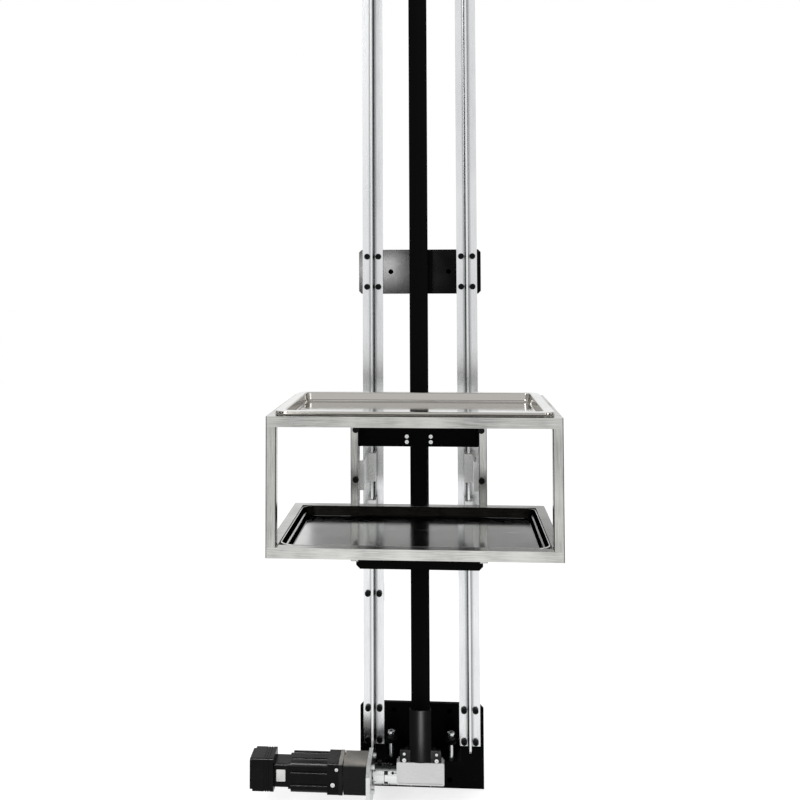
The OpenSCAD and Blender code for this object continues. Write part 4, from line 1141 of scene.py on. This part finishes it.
@dataclass
class Carriage:
    """Crossbars, post, clamps, uprights and guide shoes."""

    shop: Paintshop
    bars: tuple[str, ...] = ("upper_crossbar", "lower_crossbar", "centre_post", "clamp_blocks", "clamp_plates")
    uprights: tuple[str, ...] = ("upright_left", "upright_right")
    small: tuple[str, ...] = (
        "clamp_screws", "upright_bolts", "shoe_brackets", "shoe_housings", "shoe_liners", "shoe_screws",
    )
    edge_mm: float = 0.5

    def build(self) -> None:
        """Dresses the carriage's nodes."""
        for node in self.bars:
            self.shop.dress(node, edge_mm=self.edge_mm)
        for node in self.uprights:
            self.shop.dress(node, Finishes.STAINLESS_BAR, self.edge_mm)
        for node in self.small:
            self.shop.dress(node)


@dataclass
class PressedTray:
    """A tray pressed from sheet, with a rolled rim, drafted walls and round floor edges."""

    shop: Paintshop
    node: str
    body: str
    rim_mm: float = 18.0
    rim_drop_mm: float = 6.8
    corner_mm: float = 24.0
    least_corner_mm: float = 8.0
    finish: Finishes = Finishes.PRESSED_SHEET
    wall_finish: Finishes = Finishes.PRESSED_SHEET
    wall_rings: tuple[int, int] = (11, 22)
    sheet_mm: float = 1.2
    draft_mm: float = 1.2
    roll_mm: float = 2.0
    shoulder_mm: float = 2.5
    foot_mm: float = 5.0
    hold_mm: float = 0.3
    under_mm: float = 1.5

    def arc(
        self, middle: tuple[float, float], radius: float, start_deg: float, end_deg: float, steps: int = 5
    ) -> list[tuple[float, float]]:
        """Draws a round part of the profile.

        Args:
            middle: the arc's middle, as (inset, height) in millimetres.
            radius: its radius.
            start_deg: the angle that it starts at.
            end_deg: the angle that it ends at.
            steps: how many steps it has.

        Returns:
            Its points, as (inset, height) in millimetres.
        """
        angles = [math.radians(start_deg + (end_deg - start_deg) * i / steps) for i in range(steps + 1)]
        return [(middle[0] + radius * math.cos(a), middle[1] + radius * math.sin(a)) for a in angles]

    def profile(self, depth: float) -> list[tuple[float, float]]:
        """Draws the section from the rim's lower edge to the floor.

        Args:
            depth: how deep the floor lies, in millimetres.

        Returns:
            Its points, as (inset, height) in millimetres. Points just beside each bend hold its
            shading to the bend.
        """
        roll, shoulder, draft, rim = self.roll_mm, self.shoulder_mm, self.draft_mm, self.rim_mm
        foot, hold = self.foot_mm, self.hold_mm
        lean = math.degrees(math.atan2(draft, depth - shoulder - foot))
        bend = self.arc((rim - shoulder, -shoulder), shoulder, 90, lean)
        corner = self.arc((rim + draft + foot, -depth + foot), foot, 180 + lean, 270, 7)
        (x_top, z_top), (x_low, z_low) = bend[-1], corner[0]
        wall = [(x_top + (x_low - x_top) * part, z_top + (z_low - z_top) * part) for part in (0.03, 0.97)]
        return [
            (0.0, -self.rim_drop_mm), (0.0, -roll - hold),
            *self.arc((roll, -roll), roll, 180, 90),
            (roll + hold, 0.0), (rim - shoulder - hold, 0.0),
            *bend, *wall, *corner,
            (rim + draft + foot + hold, -depth), (rim + draft + foot + 12 * hold, -depth),
        ]

    def build(self) -> None:
        """Makes the tray in place of its plain solid."""
        low, high = (Vector(c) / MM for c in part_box(self.node))
        middle = (low + high) / 2
        wide, deep = high.x - low.x, high.y - low.y
        rings = []
        for inset, height in self.profile(high.z - low.z - self.under_mm):
            corner = max(self.least_corner_mm, self.corner_mm - inset * 2 / 3)
            outline = rounded_outline(wide - 2 * inset, deep - 2 * inset, corner, 10)
            rings.append([Vector((middle.x + x, middle.y + y, high.z + height)) * MM for x, y in outline])
        skin = Skin(self.node + "_pressed")
        skin.rings(rings, caps=False)
        last = len(skin.points)
        skin.faces.append(tuple(range(last - len(rings[0]), last)))
        tray = skin.finish(self.shop, self.finish, "stainless", self.body)
        # The wall faces get a second finish, which on the lower tray is a painted dark reflection
        tray.data.materials.append(self.shop.material(self.wall_finish))
        first, last = (ring * len(rings[0]) for ring in self.wall_rings)
        for face in tray.data.polygons[first:last]:
            face.material_index = 1
        sheet = tray.modifiers.new("sheet", "SOLIDIFY")
        sheet.thickness = self.sheet_mm * MM
        sheet.offset = -1.0
        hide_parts(self.node)


@dataclass
class Car:
    """Frames, front posts, ledges and the two loose trays."""

    shop: Paintshop
    frames: tuple[str, ...] = ("top_frame", "bottom_frame")
    uprights: tuple[str, ...] = ("upright_left", "upright_right")
    frame_edge_mm: float = 2.2
    ledge_edge_mm: float = 0.4
    bead_radius_mm: float = 1.5
    bead_step_mm: float = 0.7
    bead_ripple: float = 0.16
    bead_inset_mm: float = 2.0

    def build(self) -> None:
        """Dresses the car's nodes and adds its welds and pressed trays."""
        for node in self.frames:
            self.shop.dress(node, edge_mm=self.frame_edge_mm, steps=4)
        self.shop.dress("tray_ledges", edge_mm=self.ledge_edge_mm)
        self.shop.dress("front_posts", Finishes.STAINLESS_BAR)
        PressedTray(self.shop, "top_tray", "upper_tray").build()
        # The lower tray's walls take a nearly black finish: a painted dark reflection
        PressedTray(
            self.shop, "bottom_tray", "lower_tray", rim_mm=3.4, draft_mm=8.0, roll_mm=1.2, shoulder_mm=1.4,
            finish=Finishes.WORN_SHEET, wall_finish=Finishes.DRAWN_WALL,
        ).build()
        self.welds()

    def bead(self, skin: Skin, start: Vector, end: Vector) -> None:
        """Lays one rippled weld bead.

        Args:
            skin: the piece that it is added to.
            start: where it starts.
            end: where it ends.
        """
        count = max(2, round((end - start).length / MM / self.bead_step_mm))
        path = [start.lerp(end, i / count) for i in range(count + 1)]
        skin.tube(path, lambda i: self.bead_radius_mm * (1 + self.bead_ripple * math.sin(i * math.tau / 3)))

    def welds(self) -> None:
        """Lays beads inside the corners where the posts and uprights meet the two frames."""
        skin = Skin("car_welds")
        top = Vector(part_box("top_frame")[0]).z
        foot = Vector(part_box("bottom_frame")[1]).z
        radius, inset = self.bead_radius_mm * MM, self.bead_inset_mm * MM
        for low, high in self.shop.solids("front_posts"):
            inner_x = high.x if high.x < 0 else low.x
            for z in (top, foot):
                self.bead(skin, Vector((inner_x, low.y + radius, z)), Vector((inner_x, high.y, z)))
                self.bead(skin, Vector((low.x, high.y, z)), Vector((high.x, high.y, z)))
        for node in self.uprights:
            low, high = (Vector(c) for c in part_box(node))
            for name in self.frames:
                beam_low, beam_high = (Vector(c).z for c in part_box(name))
                for x in (low.x, high.x):
                    start = Vector((x, low.y, beam_low + inset))
                    self.bead(skin, start, Vector((x, low.y, beam_high - inset)))
        skin.finish(self.shop, Finishes.WELD, "stainless_tube", "car")


def main() -> None:
    """Builds the studio and every sub-assembly in order."""
    logging.basicConfig(level=logging.INFO, format="%(name)s: %(message)s")
    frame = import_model()
    shop = Paintshop(frame)
    for assembly in (Studio(frame["nodes"]), Mast(shop), DriveUnit(shop), Carriage(shop), Car(shop)):
        assembly.build()


if __name__ == "__main__":
    main()
